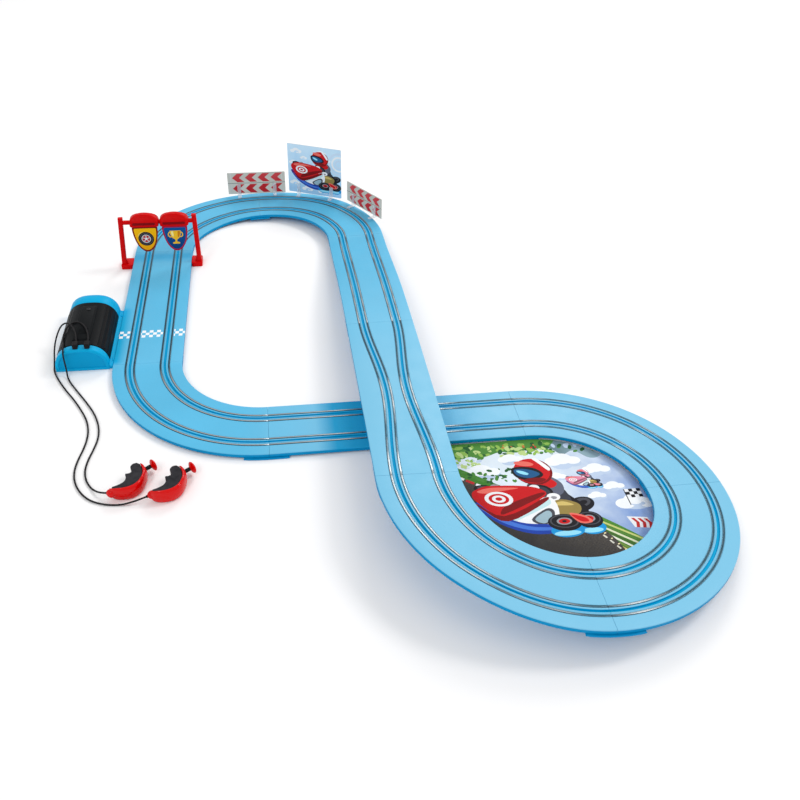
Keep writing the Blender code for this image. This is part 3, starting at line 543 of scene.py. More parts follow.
def smooth_line(points, per_span=6, closed=False):
    """A Catmull-Rom curve through points of any dimension."""
    spots = [np.array(p, float) for p in points]
    if closed:
        spots = [spots[-1], *spots, spots[0], spots[1]]
    else:
        spots = [2 * spots[0] - spots[1], *spots, 2 * spots[-1] - spots[-2]]
    line = []
    for p0, p1, p2, p3 in zip(spots, spots[1:], spots[2:], spots[3:]):
        for t in np.arange(per_span) / per_span:
            line.append(tuple(0.5 * (2 * p1 + (p2 - p0) * t + (2 * p0 - 5 * p1 + 4 * p2 - p3) * t * t
                                     + (3 * p1 - p0 - 3 * p2 + p3) * t ** 3)))
    return line if closed else [*line, tuple(spots[-2])]


# ---------------------------------------------------------------- the roadway
# Sections in driving order from the north end of the bridge: name, turn, sweep steps
SECTIONS = (
    ("bridge_straight", 0, 56), ("loop_curve_a", 1, 44), ("loop_curve_b", 1, 44),
    ("loop_curve_c", 1, 44), ("underpass_straight", 0, 6), ("infield_curve", -1, 44),
    ("start_straight", 0, 6), ("far_curve_a", -1, 44), ("far_curve_b", -1, 44),
    ("ramp_straight", 0, 24),
)
# Rise of the roadway and its tilt to the left, at places counted in sections
PROFILE = (
    (0.5, 0.0545, 0.00), (1.0, 0.0590, -0.03), (1.5, 0.0480, -0.09), (2.0, 0.0300, 0.00),
    (2.5, 0.0190, 0.00), (3.0, 0.0060, 0.00), (3.5, 0.0020, 0.00), (4.0, 0.0, 0.0),
    (7.0, 0.0, 0.0), (7.5, 0.0010, 0.03), (8.0, 0.0055, 0.00), (8.5, 0.0130, 0.03),
    (9.0, 0.0165, 0.05), (9.75, 0.0447, 0.03),
)
SLOT_HALF = 0.0018
SLOT_DEPTH = 0.0026
LIP = (0.0010, 0.0003)           # width and height of the lip beside a slot
GROOVE = (0.0016, 0.0004)        # half width and depth of the groove a rail lies in
EASE = 0.0003                    # slope beside a lip or a groove
EDGE = 0.0008                    # rounding of the roadway's outer edges
SKIRT_THICK = 0.0016
DECK_THICK = 0.0036
DEEP = 0.0012                    # faces deeper than this keep the plastic's deeper blue, on the skirts also painted shade
SEAM_EASE = 0.00015              # softened end of a section
SKIRT_EASE = 0.0003              # softened lower edge of the skirt


def section_length(index):
    return QUARTER if SECTIONS[index][1] else STRAIGHT


STARTS = [sum(section_length(k) for k in range(i)) for i in range(len(SECTIONS) + 1)]
LAP = STARTS[-1]


def section_place(count):
    """Distance along the lap of a place counted in sections."""
    index = min(int(count), len(SECTIONS) - 1)
    return STARTS[index] + (count - index) * section_length(index)


def periodic_curve(places, values):
    """A smooth curve through the values with no overshoot, repeating every lap."""
    x = np.array([*[p - LAP for p in places[-2:]], *places, *[p + LAP for p in places[:2]]])
    y = np.array([*values[-2:], *values, *values[:2]])
    chord = np.diff(y) / np.diff(x)
    slope = np.zeros(len(x))
    for i in range(1, len(x) - 1):
        if chord[i - 1] * chord[i] > 0:
            slope[i] = 2 * chord[i - 1] * chord[i] / (chord[i - 1] + chord[i])

    def value(place):
        i = int(np.clip(np.searchsorted(x, place) - 1, 0, len(x) - 2))
        span = x[i + 1] - x[i]
        t = (place - x[i]) / span
        return float((2 * t ** 3 - 3 * t * t + 1) * y[i] + (t ** 3 - 2 * t * t + t) * span * slope[i]
                     + (3 * t * t - 2 * t ** 3) * y[i + 1] + (t ** 3 - t * t) * span * slope[i + 1])
    return value


PROFILE_PLACES = [section_place(row[0]) for row in PROFILE]
deck_rise = periodic_curve(PROFILE_PLACES, [row[1] for row in PROFILE])
deck_tilt = periodic_curve(PROFILE_PLACES, [row[2] for row in PROFILE])


def centreline(place):
    """Position and heading on the centreline at a distance along the lap."""
    x, y, heading = 0.0, RADIUS, -0.5 * math.pi
    for index, (_, turn, _) in enumerate(SECTIONS):
        run = min(place - STARTS[index], section_length(index))
        if turn:
            centre_x = x - turn * RADIUS * math.sin(heading)
            centre_y = y + turn * RADIUS * math.cos(heading)
            heading += turn * run / RADIUS
            x = centre_x + turn * RADIUS * math.sin(heading)
            y = centre_y - turn * RADIUS * math.cos(heading)
        else:
            x += run * math.cos(heading)
            y += run * math.sin(heading)
        if place <= STARTS[index + 1]:
            break
    return x, y, math.cos(heading), math.sin(heading)


def deck_points(place, section):
    """Points (offset to the left, depth below the surface) at a distance along the lap."""
    x, y, forward_x, forward_y = centreline(place)
    top, tilt = DECK_TOP + deck_rise(place), deck_tilt(place)
    return [(x - forward_y * offset, y + forward_x * offset, top + tilt * offset - depth)
            for offset, depth in section]


def lane_offset(place):
    """Slot to centreline; the lanes pinch together on the bridge straight."""
    if place >= STRAIGHT:
        return LANE_OFFSET
    pinch = 0.5 * (1 - math.cos(2 * math.pi * place / STRAIGHT))
    return LANE_OFFSET + (NARROW_OFFSET - LANE_OFFSET) * pinch


def mirrored(points):
    """The same points on the other side, in reverse order."""
    return [(-across, other) for across, other in reversed(points)]


def lane_section(middle):
    """The slot with its lips, and the groove of the rail on each side of it."""
    lip_width, lip_height = LIP
    groove_half, groove_depth = GROOVE
    side = [
        (SLOT_HALF, SLOT_DEPTH), (SLOT_HALF, 0.0), (SLOT_HALF + 0.5 * EASE, -lip_height),
        (SLOT_HALF + lip_width, -lip_height), (SLOT_HALF + lip_width + EASE, 0.0),
        (RAIL_OFFSET - groove_half - EASE, 0.0), (RAIL_OFFSET - groove_half, groove_depth),
        (RAIL_OFFSET + groove_half, groove_depth), (RAIL_OFFSET + groove_half + EASE, 0.0),
    ]
    return [(middle + offset, depth) for offset, depth in [*mirrored(side), *side]]


def road_section(place, ease=0.0):
    """The roadway's cross-section, drawn in by ease at a section's end."""
    lane, inner = lane_offset(place), HALF - SKIRT_THICK
    turns = np.linspace(0, 0.5 * math.pi, 5)
    rim = [(HALF - EDGE * (1 - math.sin(t)), EDGE * (1 - math.cos(t))) for t in turns]
    skirt = [(HALF, SKIRT_DEPTH - SKIRT_EASE), (HALF - SKIRT_EASE, SKIRT_DEPTH), (inner, SKIRT_DEPTH),
             (inner, DECK_THICK)]
    section = [*mirrored(rim), *lane_section(-lane), *lane_section(lane), *rim, *skirt, *mirrored(skirt)]
    if ease:
        section = [(offset * (1 - ease / HALF), depth + ease * (depth < DEEP)) for offset, depth in section]
    return section


def sweep_places(index, end_length=SEAM_EASE):
    """Stations along a section, with one more at each end for its softened or turned-down end."""
    start, end = STARTS[index] + GAP / 3, STARTS[index + 1] - GAP / 3
    middle = np.linspace(start + end_length, end - end_length, SECTIONS[index][2] + 1)
    return [start, *middle, end]


def build_track():
    """One piece for each section: its top, its slots and the deeper blue of its skirt."""
    # The skirts' deeper blue is partly the plastic's colour and partly painted shade
    deep = paint("track_deep", DEEP_COLOUR, 0.45, mottle=0.04)
    # The slots' lighter blue is painted light against the shade inside them
    lining = paint("track_slot", SLOT_COLOUR, 0.50, mottle=0.05)
    plain = track_top("track_top")
    special = {"start_straight": track_top("track_top_start_line", start_line=True),
               "underpass_straight": track_top("track_top_underpass", underpass=True)}
    for index, (name, _, _) in enumerate(SECTIONS):
        places = sweep_places(index)
        section = road_section(places[1])
        zones = []
        for (across, depth), (next_across, next_depth) in zip(section, section[1:] + section[:1]):
            lane = abs(abs(across + next_across) / 2 - lane_offset(places[1])) < 2 * SLOT_HALF
            zones.append((2 if lane else 1) if 0.5 * (depth + next_depth) > DEEP else 0)
        ends = (places[0], places[-1])
        rings = [deck_points(place, road_section(place, SEAM_EASE * (place in ends))) for place in places]
        top = special.get(name, plain)
        add_piece(f"{name}_deck", loft(rings, zones=zones), [top, deep, lining], replaces=name,
                  slot="track_blue", smooth=25)


RAIL_HALF = 0.0013
RAIL_DEPTHS = (-0.0005, 0.0002)      # its crown stands out of the groove, its underside lies in it
RAIL_ROLL = 0.0004                   # rounding of its edges
RAIL_DIP = 0.0005                    # how far its ends are turned down at a seam
RAIL_END = 0.0012                    # length of a turned-down end
RAIL_GIRTH_STEP = 0.0004             # one point of its section to the next, on the metal's map


def rail_section(middle, dip):
    """A flat strip with rolled edges, sunk a little in its groove."""
    high, low = RAIL_DEPTHS
    turns = np.linspace(0, 0.5 * math.pi, 4)
    top = [(RAIL_HALF - RAIL_ROLL * (1 - math.sin(t)), high + RAIL_ROLL * (1 - math.cos(t))) for t in turns]
    section = [*mirrored(top), *top, (RAIL_HALF, low), (-RAIL_HALF, low)]
    return [(middle + offset, depth + dip) for offset, depth in section]


def build_rails():
    """Each rail is one strip in each section, with its ends turned down at the seams."""
    steel = rail_metal()
    for lane, side in ((1, 1), (2, -1)):
        for label, reach in (("left", RAIL_OFFSET), ("right", -RAIL_OFFSET)):
            bm = bmesh.new()
            line = bm.loops.layers.uv.new("UVMap")
            for index in range(len(SECTIONS)):
                places = sweep_places(index, RAIL_END)
                since = len(bm.faces)
                rings = []
                for place in places:
                    dip = RAIL_DIP * (place in (places[0], places[-1]))
                    section = rail_section(side * lane_offset(place) + reach, dip)
                    rings.append(deck_points(place, section))
                loft(rings, bm=bm)
                bm.faces.ensure_lookup_table()
                for number, face in enumerate(bm.faces[since:]):
                    i, k = divmod(number, len(rings[0]))
                    corners = ((i, k), (i, k + 1), (i + 1, k + 1), (i + 1, k))
                    for loop, (row, column) in zip(face.loops, corners):
                        loop[line].uv = (places[min(row, len(places) - 1)], column * RAIL_GIRTH_STEP)
            name = f"lane_{lane}_rail_{label}"
            add_piece(f"{name}_strips", bm, [steel], replaces=name, slot="rail_metal", smooth=50)


# ---------------------------------------------------------------- joint feet and bridge supports
PLATE_THICK = DECK_TOP - SKIRT_DEPTH - GAP
PLATE_LENGTH = 0.050
TAB_REACH = 0.0025
# name, section that starts at the seam, tabs beyond the left and right skirts, column offset
SUPPORTS = (
    ("bridge_support_1", 0, False, False, 0.0), ("bridge_support_2", 1, False, False, 0.016),
    ("bridge_support_3", 2, False, True, 0.012), ("bridge_support_4", 9, False, False, 0.0),
    ("joint_foot_1", 3, False, True, 0.0), ("joint_foot_2", 4, False, True, 0.0),
    ("joint_foot_3", 5, True, True, 0.0), ("joint_foot_4", 6, False, False, 0.0),
    ("joint_foot_5", 7, False, False, 0.0), ("joint_foot_6", 8, True, True, 0.0),
)
PLATE_EASE = 0.0004              # softened edges of the plate under a seam
BASE_THICK = 0.0020
BASE_HALF = 0.0280
COLUMN_HALF = (0.0078, 0.0195)   # along and across the roadway
FLUTE_DEPTH = 0.0012
FLUTES = 8
TALL_COLUMN = 0.030              # columns above this have flanges
FLANGE = ((0.0070, 0.0015), (0.0240, 0.0015), (0.0070, 0.0240))
FLANGE_HALF = 0.0010


def seam_plate(seam, left, right):
    """The plate that joins two sections under their seam, following the roadway's surface."""
    top, low = SKIRT_DEPTH + GAP, SKIRT_DEPTH + GAP + PLATE_THICK
    rings = []
    steps = np.linspace(-0.5, 0.5, 13)
    for step in steps:
        inset = PLATE_EASE * (step in (steps[0], steps[-1]))
        west, east = left - inset, right + inset
        outline = [(west, top + PLATE_EASE), (west - PLATE_EASE, top + inset),
                   (east + PLATE_EASE, top + inset), (east, top + PLATE_EASE), (east, low), (west, low)]
        ring = deck_points((seam + step * PLATE_LENGTH) % LAP, outline)
        rings.append([(x, y, max(z, 0.0)) for x, y, z in ring])
    return loft(rings)


def build_supports():
    """The feet under the level seams, and the columns under the raised ones."""
    deep = paint("track_deep", DEEP_COLOUR, 0.45, mottle=0.04)
    for name, section, left_tab, right_tab, shift in SUPPORTS:
        seam = STARTS[section]
        bm = seam_plate(seam, HALF + TAB_REACH * left_tab, -HALF - TAB_REACH * right_tab)
        rise = deck_rise(seam)
        if rise > BASE_THICK + PLATE_THICK:
            since = len(bm.verts)
            build_column(bm, rise + 0.5 * PLATE_THICK, shift)
            x, y, forward_x, forward_y = centreline(seam)
            turn = Matrix.Rotation(math.atan2(forward_y, forward_x), 4, "Z")
            moved(bm, Matrix.Translation((x, y, 0)) @ turn, since)
        add_piece(f"{name}_moulding", bm, [deep], replaces=name, slot="track_blue", smooth=35)


def build_column(bm, height, shift):
    """A fluted column on a flat base, with flanges that stiffen its foot."""
    fluted = []
    along, across = COLUMN_HALF
    for side in (1, -1):
        for k in range(FLUTES + 1):
            y = side * (across - across * k / (FLUTES // 2))
            fluted.append((side * (along - FLUTE_DEPTH * (k % 2)), shift + y))
    rounded_prism(fluted, 0.0, height, 0.0004, bm=bm)
    rounded_block((-BASE_HALF, shift - BASE_HALF, 0.0), (BASE_HALF, shift + BASE_HALF, BASE_THICK),
                  0.0005, 0.005, bm=bm)
    if height > TALL_COLUMN:
        for side in (-1, 1):
            web = [(side * x, z) for x, z in FLANGE]
            rounded_prism(web, shift - FLANGE_HALF, shift + FLANGE_HALF, 0.0003, bm=bm, place=upright)


# ---------------------------------------------------------------- printing
INKS = {
    "black": (26, 26, 32), "white": (242, 244, 246), "red": (196, 44, 46), "grey": (74, 76, 84),
    "metal": (150, 150, 156), "glow": (24, 150, 216), "halo": (150, 224, 248), "shine": (236, 112, 100),
    "brass": (150, 130, 70), "brass_light": (208, 186, 110), "trim": (196, 228, 232),
    "visor": (30, 90, 140), "panel": (158, 186, 198), "blue": (30, 66, 166),
    "blue_light": (70, 120, 214), "cloud": (244, 248, 252), "cloud_shade": (190, 208, 232),
    "swirl": (206, 228, 248), "leaf": (78, 136, 58), "leaf_dark": (38, 92, 48),
    "leaf_light": (142, 184, 84), "leaf_pale": (188, 212, 138), "awning": (196, 120, 60),
    "spark": (255, 240, 186), "kerb": (222, 220, 206), "board_line": (86, 84, 84),
    "board_pale": (222, 218, 210), "rim": (130, 8, 12), "hub": (206, 206, 210),
    "gold_light": (255, 214, 84), "tyre_shine": (96, 96, 104), "pink": (180, 16, 60),
    "cup": (246, 190, 40), "cup_light": (255, 234, 150), "cup_shade": (206, 128, 16),
}
KART_RED, KART_PINK = (204, 22, 28), (226, 138, 166)
SUIT_COLOUR = (96, 102, 120)


def inks(*names):
    """The plain printing inks with these names."""
    return [ink(f"print_{name}", INKS[name]) for name in names]


def rectangle(west, south, east, north):
    return [(west, south), (east, south), (east, north), (west, north)]


def ellipse(x, y, across, high, turn=0.0, sides=28):
    t = np.linspace(0, 2 * math.pi, sides, endpoint=False)
    a, b = across * np.cos(t), high * np.sin(t)
    return [(x + p * math.cos(turn) - q * math.sin(turn), y + p * math.sin(turn) + q * math.cos(turn))
            for p, q in zip(a, b)]


def puffs(*circles):
    """Overlapping round puffs of a cloud or a bush, as separate shapes."""
    return [ellipse(x, y, size, 0.72 * size) for x, y, size in circles]


def anticlockwise(polygon):
    return polygon if signed_area(np.array(polygon)) > 0 else polygon[::-1]


def printed_sheet(name, outline, shapes, place, thick, back, **options):
    """A closed sheet whose front is divided exactly into printed shapes, later ones on top."""
    polygons = [anticlockwise(polygon) for polygon in (outline, *[shape for _, shape in shapes])]
    spots, faces = [], []
    for polygon in polygons:
        faces.append(list(range(len(spots), len(spots) + len(polygon))))
        spots += [Vector(spot) for spot in polygon]
    made = geometry.delaunay_2d_cdt(spots, [], faces, 1, 1e-7)
    corners, triangles, sources = made[0], made[2], made[5]
    materials = [back]
    for material, _ in shapes:
        if material not in materials:
            materials.append(material)
    bm = bmesh.new()
    front = [bm.verts.new(place(x, y, 0.0)) for x, y in corners]
    rear = [bm.verts.new(place(x, y, thick)) for x, y in corners]
    sides = {}
    for triangle, source in zip(triangles, sources):
        if 0 not in source:
            continue
        face = bm.faces.new([front[i] for i in triangle])
        top = max(source)
        face.material_index = materials.index(shapes[top - 1][0]) if top else 0
        bm.faces.new([rear[i] for i in reversed(triangle)])
        for a, b in zip(triangle, [*triangle[1:], triangle[0]]):
            sides[frozenset((a, b))] = None if frozenset((a, b)) in sides else (a, b)
    for edge in sides.values():
        if edge:
            bm.faces.new((front[edge[1]], front[edge[0]], rear[edge[0]], rear[edge[1]]))
    bmesh.ops.delete(bm, geom=[v for v in bm.verts if not v.link_faces], context="VERTS")
    return add_piece(name, bm, materials, **options)


def scatter(seed, count, area, size, inks):
    """Small round blobs of several inks spread over an area, the same ones every time."""
    spread = np.random.default_rng(seed)
    low, high = area
    shapes = []
    for k in range(count):
        x, y = spread.uniform(low[0], high[0]), spread.uniform(low[1], high[1])
        across, turn = spread.uniform(0.4, 1.0) * size, spread.uniform(0, math.pi)
        shapes.append((inks[k % len(inks)], ellipse(x, y, across, 0.6 * across, turn, 10)))
    return shapes


def kart_art(corner, size, body):
    """A helmeted driver in a small kart; its points are percent of a box at corner, with this size."""
    def at(points, closed=True):
        line = smooth_line(points, 4, closed=True) if closed else points
        return [(corner[0] + size[0] * x / 100, corner[1] + size[1] * y / 100) for x, y in line]

    def dot(x, y, across, high, turn=0.0):
        return at(ellipse(x, y, across, high, turn), closed=False)

    label = "_".join(str(value) for value in body)
    body_ink = ink(f"print_body_{label}", body)
    body_dark = ink(f"print_dark_{label}", tuple(0.62 * value for value in body))
    suit_ink = ink("print_suit", SUIT_COLOUR)
    suit_dark = ink("print_suit_dark", tuple(0.6 * value for value in SUIT_COLOUR))
    black, white, grey, metal, glow, halo = inks("black", "white", "grey", "metal", "glow", "halo")
    shine, brass, brass_light, trim = inks("shine", "brass", "brass_light", "trim")
    visor, panel, blue, blue_light = inks("visor", "panel", "blue", "blue_light")
    wheels = []
    for x, y, reach in ((93, 14, 11.5), (71, 13, 14.5)):
        wheels += [(glow, dot(x, y - 10, reach, 8)), (halo, dot(x - 1, y - 13, 0.8 * reach, 3)),
                   (black, dot(x, y, reach, 10.5, -0.1)), (grey, dot(x, y + 1.5, 0.86 * reach, 8, -0.1)),
                   (black, dot(x, y + 1.5, 0.76 * reach, 7, -0.1)),
                   (metal, dot(x, y + 1.5, 0.46 * reach, 4.4)),
                   (body_ink, dot(x, y + 1.5, 0.34 * reach, 3.2)),
                   (black, dot(x, y + 1.5, 0.14 * reach, 1.4))]
    return [
        (black, dot(92, 34, 12, 9, 0.35)), (grey, dot(93, 36, 8, 5.5, 0.35)),
        (black, dot(94, 36, 4, 2.6, 0.35)), (black, dot(12, 64, 9, 5, -0.2)),
        (grey, dot(11, 65, 5, 2.6, -0.2)), (metal, dot(22, 66, 4, 3)),
        (black, at([(58, 62), (74, 60), (88, 42), (96, 28), (88, 14), (62, 16), (54, 36)])),
        (suit_dark, at([(50, 62), (58, 68), (76, 66), (84, 48), (82, 34), (62, 30), (52, 42)])),
        (suit_ink, at([(56, 70), (70, 76), (82, 64), (80, 50), (66, 46), (58, 56)])),
        (body_ink, at([(60, 70), (70, 73), (78, 64), (72, 58), (63, 62)])),
        (black, dot(62, 53, 9.5, 10.5, 0.4)), (suit_dark, dot(62, 53, 7, 8, 0.4)),
        (white, dot(70, 46, 6, 5)), (metal, dot(70, 45, 3, 2)), (white, dot(56, 60, 5, 4)),
        (body_dark, dot(61, 82, 17.5, 18.5)), (body_ink, dot(60, 83, 16.5, 17.5)),
        (shine, dot(55, 94, 9, 3.4, -0.25)),
        (white, at([(64, 100.4), (69, 99), (77, 86), (75, 82), (68, 94)])),
        (black, at([(42, 88), (44, 76), (56, 70), (69, 76), (64, 86), (52, 90)])),
        (visor, at([(44, 86), (46, 78), (56, 73.5), (66, 77.5), (62, 83), (52, 87)])),
        (halo, at([(46, 85), (48, 81), (54, 78), (56, 80), (51, 84)])),
        (body_dark, at([(50, 70), (62, 66), (70, 70), (64, 73), (54, 73)])),
        (brass, at([(62, 36), (76, 42), (90, 34), (86, 22), (68, 20)])),
        (brass_light, at([(66, 36), (76, 39.5), (85, 34), (76, 34)])),
        (white, at([(20, 25), (60, 46), (70, 40), (68, 20), (54, 8), (30, 12)])),
        (trim, at([(24, 26), (61, 44), (66, 39), (60, 34), (40, 24), (28, 19)])),
        (grey, at([(44, 20), (60, 32), (66, 28), (62, 17), (52, 12)])),
        (panel, at([(47, 20), (59, 29), (63, 26), (60, 18), (53, 14)])),
        (blue, at([(0, 41), (4, 46), (22, 26), (38, 16), (62, 11), (63, 2), (40, 3), (16, 18)])),
        (blue_light, at([(3, 40), (20, 24), (40, 12), (60, 8), (58, 5), (38, 8), (18, 20)])),
        *wheels,
        (shine, at([(78, 24), (91, 19), (95, 11), (84, 11)])),
        (body_ink, at([(79, 22), (90, 17), (92, 12), (85, 13)])),
        (body_dark, at([(2, 45), (22, 27), (62, 46), (61, 40), (24, 20), (6, 36)])),
        (body_ink, at([(0, 59), (8, 65), (18, 67), (45, 64), (61, 58), (62, 47), (22, 27), (3, 46)])),
        (body_dark, at([(22, 29), (60, 48), (61, 53), (40, 46), (24, 38)])),
        (shine, at([(5, 61), (18, 64.5), (42, 61.5), (30, 59.5), (12, 57.5)])),
        (white, dot(22, 49, 12.5, 9.5, -0.25)), (body_ink, dot(22, 49, 9, 6.8, -0.25)),
        (white, dot(22, 49, 6, 4.6, -0.25)), (body_ink, dot(22, 49, 3, 2.3, -0.25)),
    ]


CARD_THICK = 0.0008
CARD_RADIUS = RADIUS - HALF - 0.0006
CARD_TUCK = 0.0070               # how far the card reaches below the raised roadway
VERGE_TONES = ((198, 206, 124), (88, 132, 56), (226, 228, 196), (70, 104, 46), (240, 240, 224),
               (120, 150, 66), (206, 198, 120))


def card_hills():
    """The sky, a rocky ridge and a wood in front of it."""
    sky = ink("print_card_sky", (222, 234, 244), (96, 138, 206), (0.80, -0.6, 0), (0.20, 0.38), cloud=0.14)
    cliff = ink("print_cliff", (92, 120, 126), (150, 178, 190), (1, 0, 0), (0.19, 0.25), cloud=0.08)
    light, leaf, dark, pale = inks("leaf_light", "leaf", "leaf_dark", "leaf_pale")
    shadow, awning, red = inks("cloud_shade", "awning", "red")
    ridge = [(10, 130), (16, 100), (28, 96), (40, 84), (56, 90), (74, 74), (92, 82), (110, 130)]
    wood = [(-130, 130), (-130, 78), (-104, 84), (-84, 92), (-62, 90), (-40, 97), (-18, 94), (4, 100),
            (22, 96), (30, 130)]
    return [
        (sky, rectangle(-160, -160, 160, 160)),
        (cliff, smooth_line(ridge, 5, True)),
        *scatter(3, 26, ((20, 84), (90, 108)), 5.0, [leaf, dark, cliff, shadow]),
        (leaf, smooth_line(wood, 5, True)),
        *scatter(7, 120, ((-122, 88), (26, 112)), 6.0, [light, leaf, dark, pale]),
        *scatter(5, 30, ((-118, 70), (-70, 88)), 5.0, [light, shadow, pale]),
        *scatter(11, 8, ((-40, 100), (10, 110)), 3.0, [awning, red]),
    ]


def card_clouds():
    puff, shadow = inks("cloud", "cloud_shade")
    shapes = []
    for x, y, size in ((-72, 62, 1.0), (-30, 82, 0.7), (36, 72, 1.0), (74, 52, 0.8), (20, 44, 0.55),
                       (86, 20, 0.6), (60, 6, 0.5)):
        shade_y = y - 5 * size
        below = puffs((x - 2, shade_y, 15 * size), (x + 14 * size, shade_y, 10 * size))
        above = puffs((x - 12 * size, y, 11 * size), (x, y + 4 * size, 14 * size),
                      (x + 14 * size, y, 10 * size))
        shapes += [(shadow, shape) for shape in below] + [(puff, shape) for shape in above]
    return shapes


def card_ground():
    """The grass verge with its bright lines, and the road with a kerb and sparks."""
    verge = ink("print_verge", (58, 124, 44), (126, 172, 62), (0.62, 0.78, 0), (-0.05, 0.02), cloud=0.05,
                streak=(8.0, 60.0, 1.0))
    road = ink("print_road", (52, 50, 50), (104, 98, 90), (0.62, 0.78, 0), (-0.10, -0.02), cloud=0.07,
               streak=(10.0, 50.0, 1.0))
    dark, leaf, white, red, spark, kerb = inks("leaf_dark", "leaf", "white", "red", "spark", "kerb")
    bank = [(-150, 108), (-101, 74), (-45, 30), (0, 4), (43, -20), (94, -69), (120, -104), (40, -130),
            (-150, -10)]
    shapes = [(verge, smooth_line(bank, 4, True))]
    shapes += scatter(13, 40, ((-100, 40), (-30, 66)), 4.0, [dark, leaf])
    for k, tone in enumerate(VERGE_TONES):
        near, far = 20 + 0.4 * k, 100 - 3.2 * k
        strip = [(near, -10 - 4.2 * k), (far, -74 - 3.6 * k), (far - 1.6, -76.5 - 3.6 * k),
                 (near - 1, -12.6 - 4.2 * k)]
        shapes.append((ink(f"print_verge_line_{k}", tone), strip))
    lane = [(-150, 94), (-102, 57), (-46, 16), (0, -12), (42, -40), (64, -82), (60, -140), (-150, -140)]
    shapes.append((road, smooth_line(lane, 4, True)))
    for k in range(9):
        start = np.array((-104.0, 60.0)) + k * np.array((11.0, -8.2))
        block = [start, start + (9.0, -6.7), start + (6.6, -10.0), start + (-2.4, -3.3)]
        shapes.append((red if k % 2 else white, [tuple(spot) for spot in block]))
    for k in range(5):
        x, y = 44 + 5.2 * k, -46 - 9 * k
        shapes.append((spark, ellipse(x, y, 1.3 + 0.3 * (k % 2), 0.9, 0.4, 10)))
        shapes.append((kerb, [(x - 2, y - 2), (x + 1, y - 7), (x - 1, y - 8), (x - 4, y - 3)]))
    return shapes


def card_corner():
    """Low clouds, a chequered flag and a board with red arrows."""
    puff, shadow, white, red = inks("cloud", "cloud_shade", "white", "red")
    shapes = [(shadow, ellipse(104, -16, 17, 6))]
    shapes += [(puff, shape) for shape in puffs((90, -11, 12), (104, -6, 14), (118, -12, 11))]
    shapes += [(shadow, ellipse(106, -13, 9, 3.4)), (puff, ellipse(103, -10, 8, 3.6))]
    shapes += chequered_flag((97, -2), 5.0)
    shapes.append((white, [(84, -32), (108, -36), (112, -54), (88, -50)]))
    arrow = ((0, 0), (4, -0.6), (8, -8), (6, -16), (2, -15.4), (4, -7.6))
    shapes += [(red, [(88 + 7.5 * k + x, -35 - 1.3 * k + y) for x, y in arrow]) for k in range(3)]
    return shapes


def card_art():
    """A generic race scene in the loop, drawn in millimetres from the loop's centre."""
    shapes = card_hills() + card_clouds() + card_ground() + card_corner()
    shapes += kart_art((30, 20), (42, 34), KART_PINK)
    shapes += kart_art((-92, -50), (140, 130), KART_RED)
    return [(material, [(x / 1000, y / 1000) for x, y in shape]) for material, shape in shapes]


def chequered_flag(corner, cell):
    """A small black and white flag on a pole."""
    black, white = inks("black", "white")
    x, y = corner
    shapes = [(black, rectangle(x - 1.2, y - 12, x, y + 3 * cell))]
    for row in range(3):
        for column in range(4):
            a, b = x + column * cell, y + row * cell
            shapes.append((black if (row + column) % 2 else white, rectangle(a, b, a + cell, b + cell)))
    return shapes


def build_card():
    """The printed card: round in the loop, and tucked below the roadway where that is raised."""
    turns = np.linspace(-math.pi, 0.5 * math.pi, 121)
    rises = [deck_rise(STRAIGHT + (t + math.pi) * RADIUS) for t in turns]
    reaches = [CARD_RADIUS + min(CARD_TUCK, 0.8 * rise) for rise in rises]
    outline = [(reach * math.cos(t), reach * math.sin(t)) for reach, t in zip(reaches, turns)]
    outline.append((-reaches[0], CARD_RADIUS))

    def place(x, y, down):
        return (RADIUS + x, y - RADIUS, CARD_THICK - down)
    back = ink("card_back", (214, 208, 198))
    printed_sheet("infield_card_print", outline, card_art(), place, CARD_THICK, back,
                  replaces="infield_card", slot="card_print")


# ---------------------------------------------------------------- trackside boards and clips
BOARD_THICK = 0.0010
# name, left end, right end (layout plan), lower and upper edge
BOARDS = (
    ("barrier_board_left", (-0.2240, 0.7030), (-0.1150, 0.7040), 0.0175, 0.0600),
    ("picture_board", (-0.1080, 0.6975), (-0.0110, 0.6545), 0.0235, 0.1185),
    ("barrier_board_right", (-0.0015, 0.6365), (0.0525, 0.5515), 0.0285, 0.0665),
)
CLIP_PLACES = (0.19, 0.81)       # shares of a board's length
CLIP_WIDTH = 0.0070
PRONG = 0.0012                   # thickness of a clip's prongs
PRONG_HEIGHT = 0.0200
CLIP_FOOT = 0.0140               # reach of a clip's tongue over the roadway
CHEVRON_ROWS = ((0.05, 0.46), (0.56, 0.96))      # shares of a board's height
CHEVRON_REACH, CHEVRON_THICK = 0.088, 0.122      # shares of its length
CHEVRON_START, CHEVRON_STEP = 0.080, 0.222


def chevron_art(length, height):
    """Two rows of red arrows that point left, over grey, with a dark line between the rows."""
    grey = ink("print_board_grey", (226, 222, 210), (208, 204, 192), (0, 0, 1), (0.02, 0.06), cloud=0.05)
    red = ink("print_chevron", (204, 36, 46), (216, 74, 78), (0, 0, 1), (0.02, 0.06), cloud=0.10)
    line, pale = inks("board_line", "board_pale")
    shapes = [(grey, rectangle(-1, -1, length + 1, height + 1))]
    for x in (0.055 * length, 0.945 * length):
        shapes.append((pale, rectangle(x - 0.8, -1, x + 0.8, height + 1)))
    reach, thick = CHEVRON_REACH * length, CHEVRON_THICK * length
    for low, high in CHEVRON_ROWS:
        low, high = low * height, high * height
        middle = 0.5 * (low + high)
        for k in range(4):
            x = length * (CHEVRON_START + CHEVRON_STEP * k)
            shapes.append((red, [(x, middle), (x + reach, high), (x + reach + thick, high),
                                 (x + thick, middle), (x + reach + thick, low), (x + reach, low)]))
    return [*shapes, (line, rectangle(-1, 0.50 * height, length + 1, 0.518 * height))]


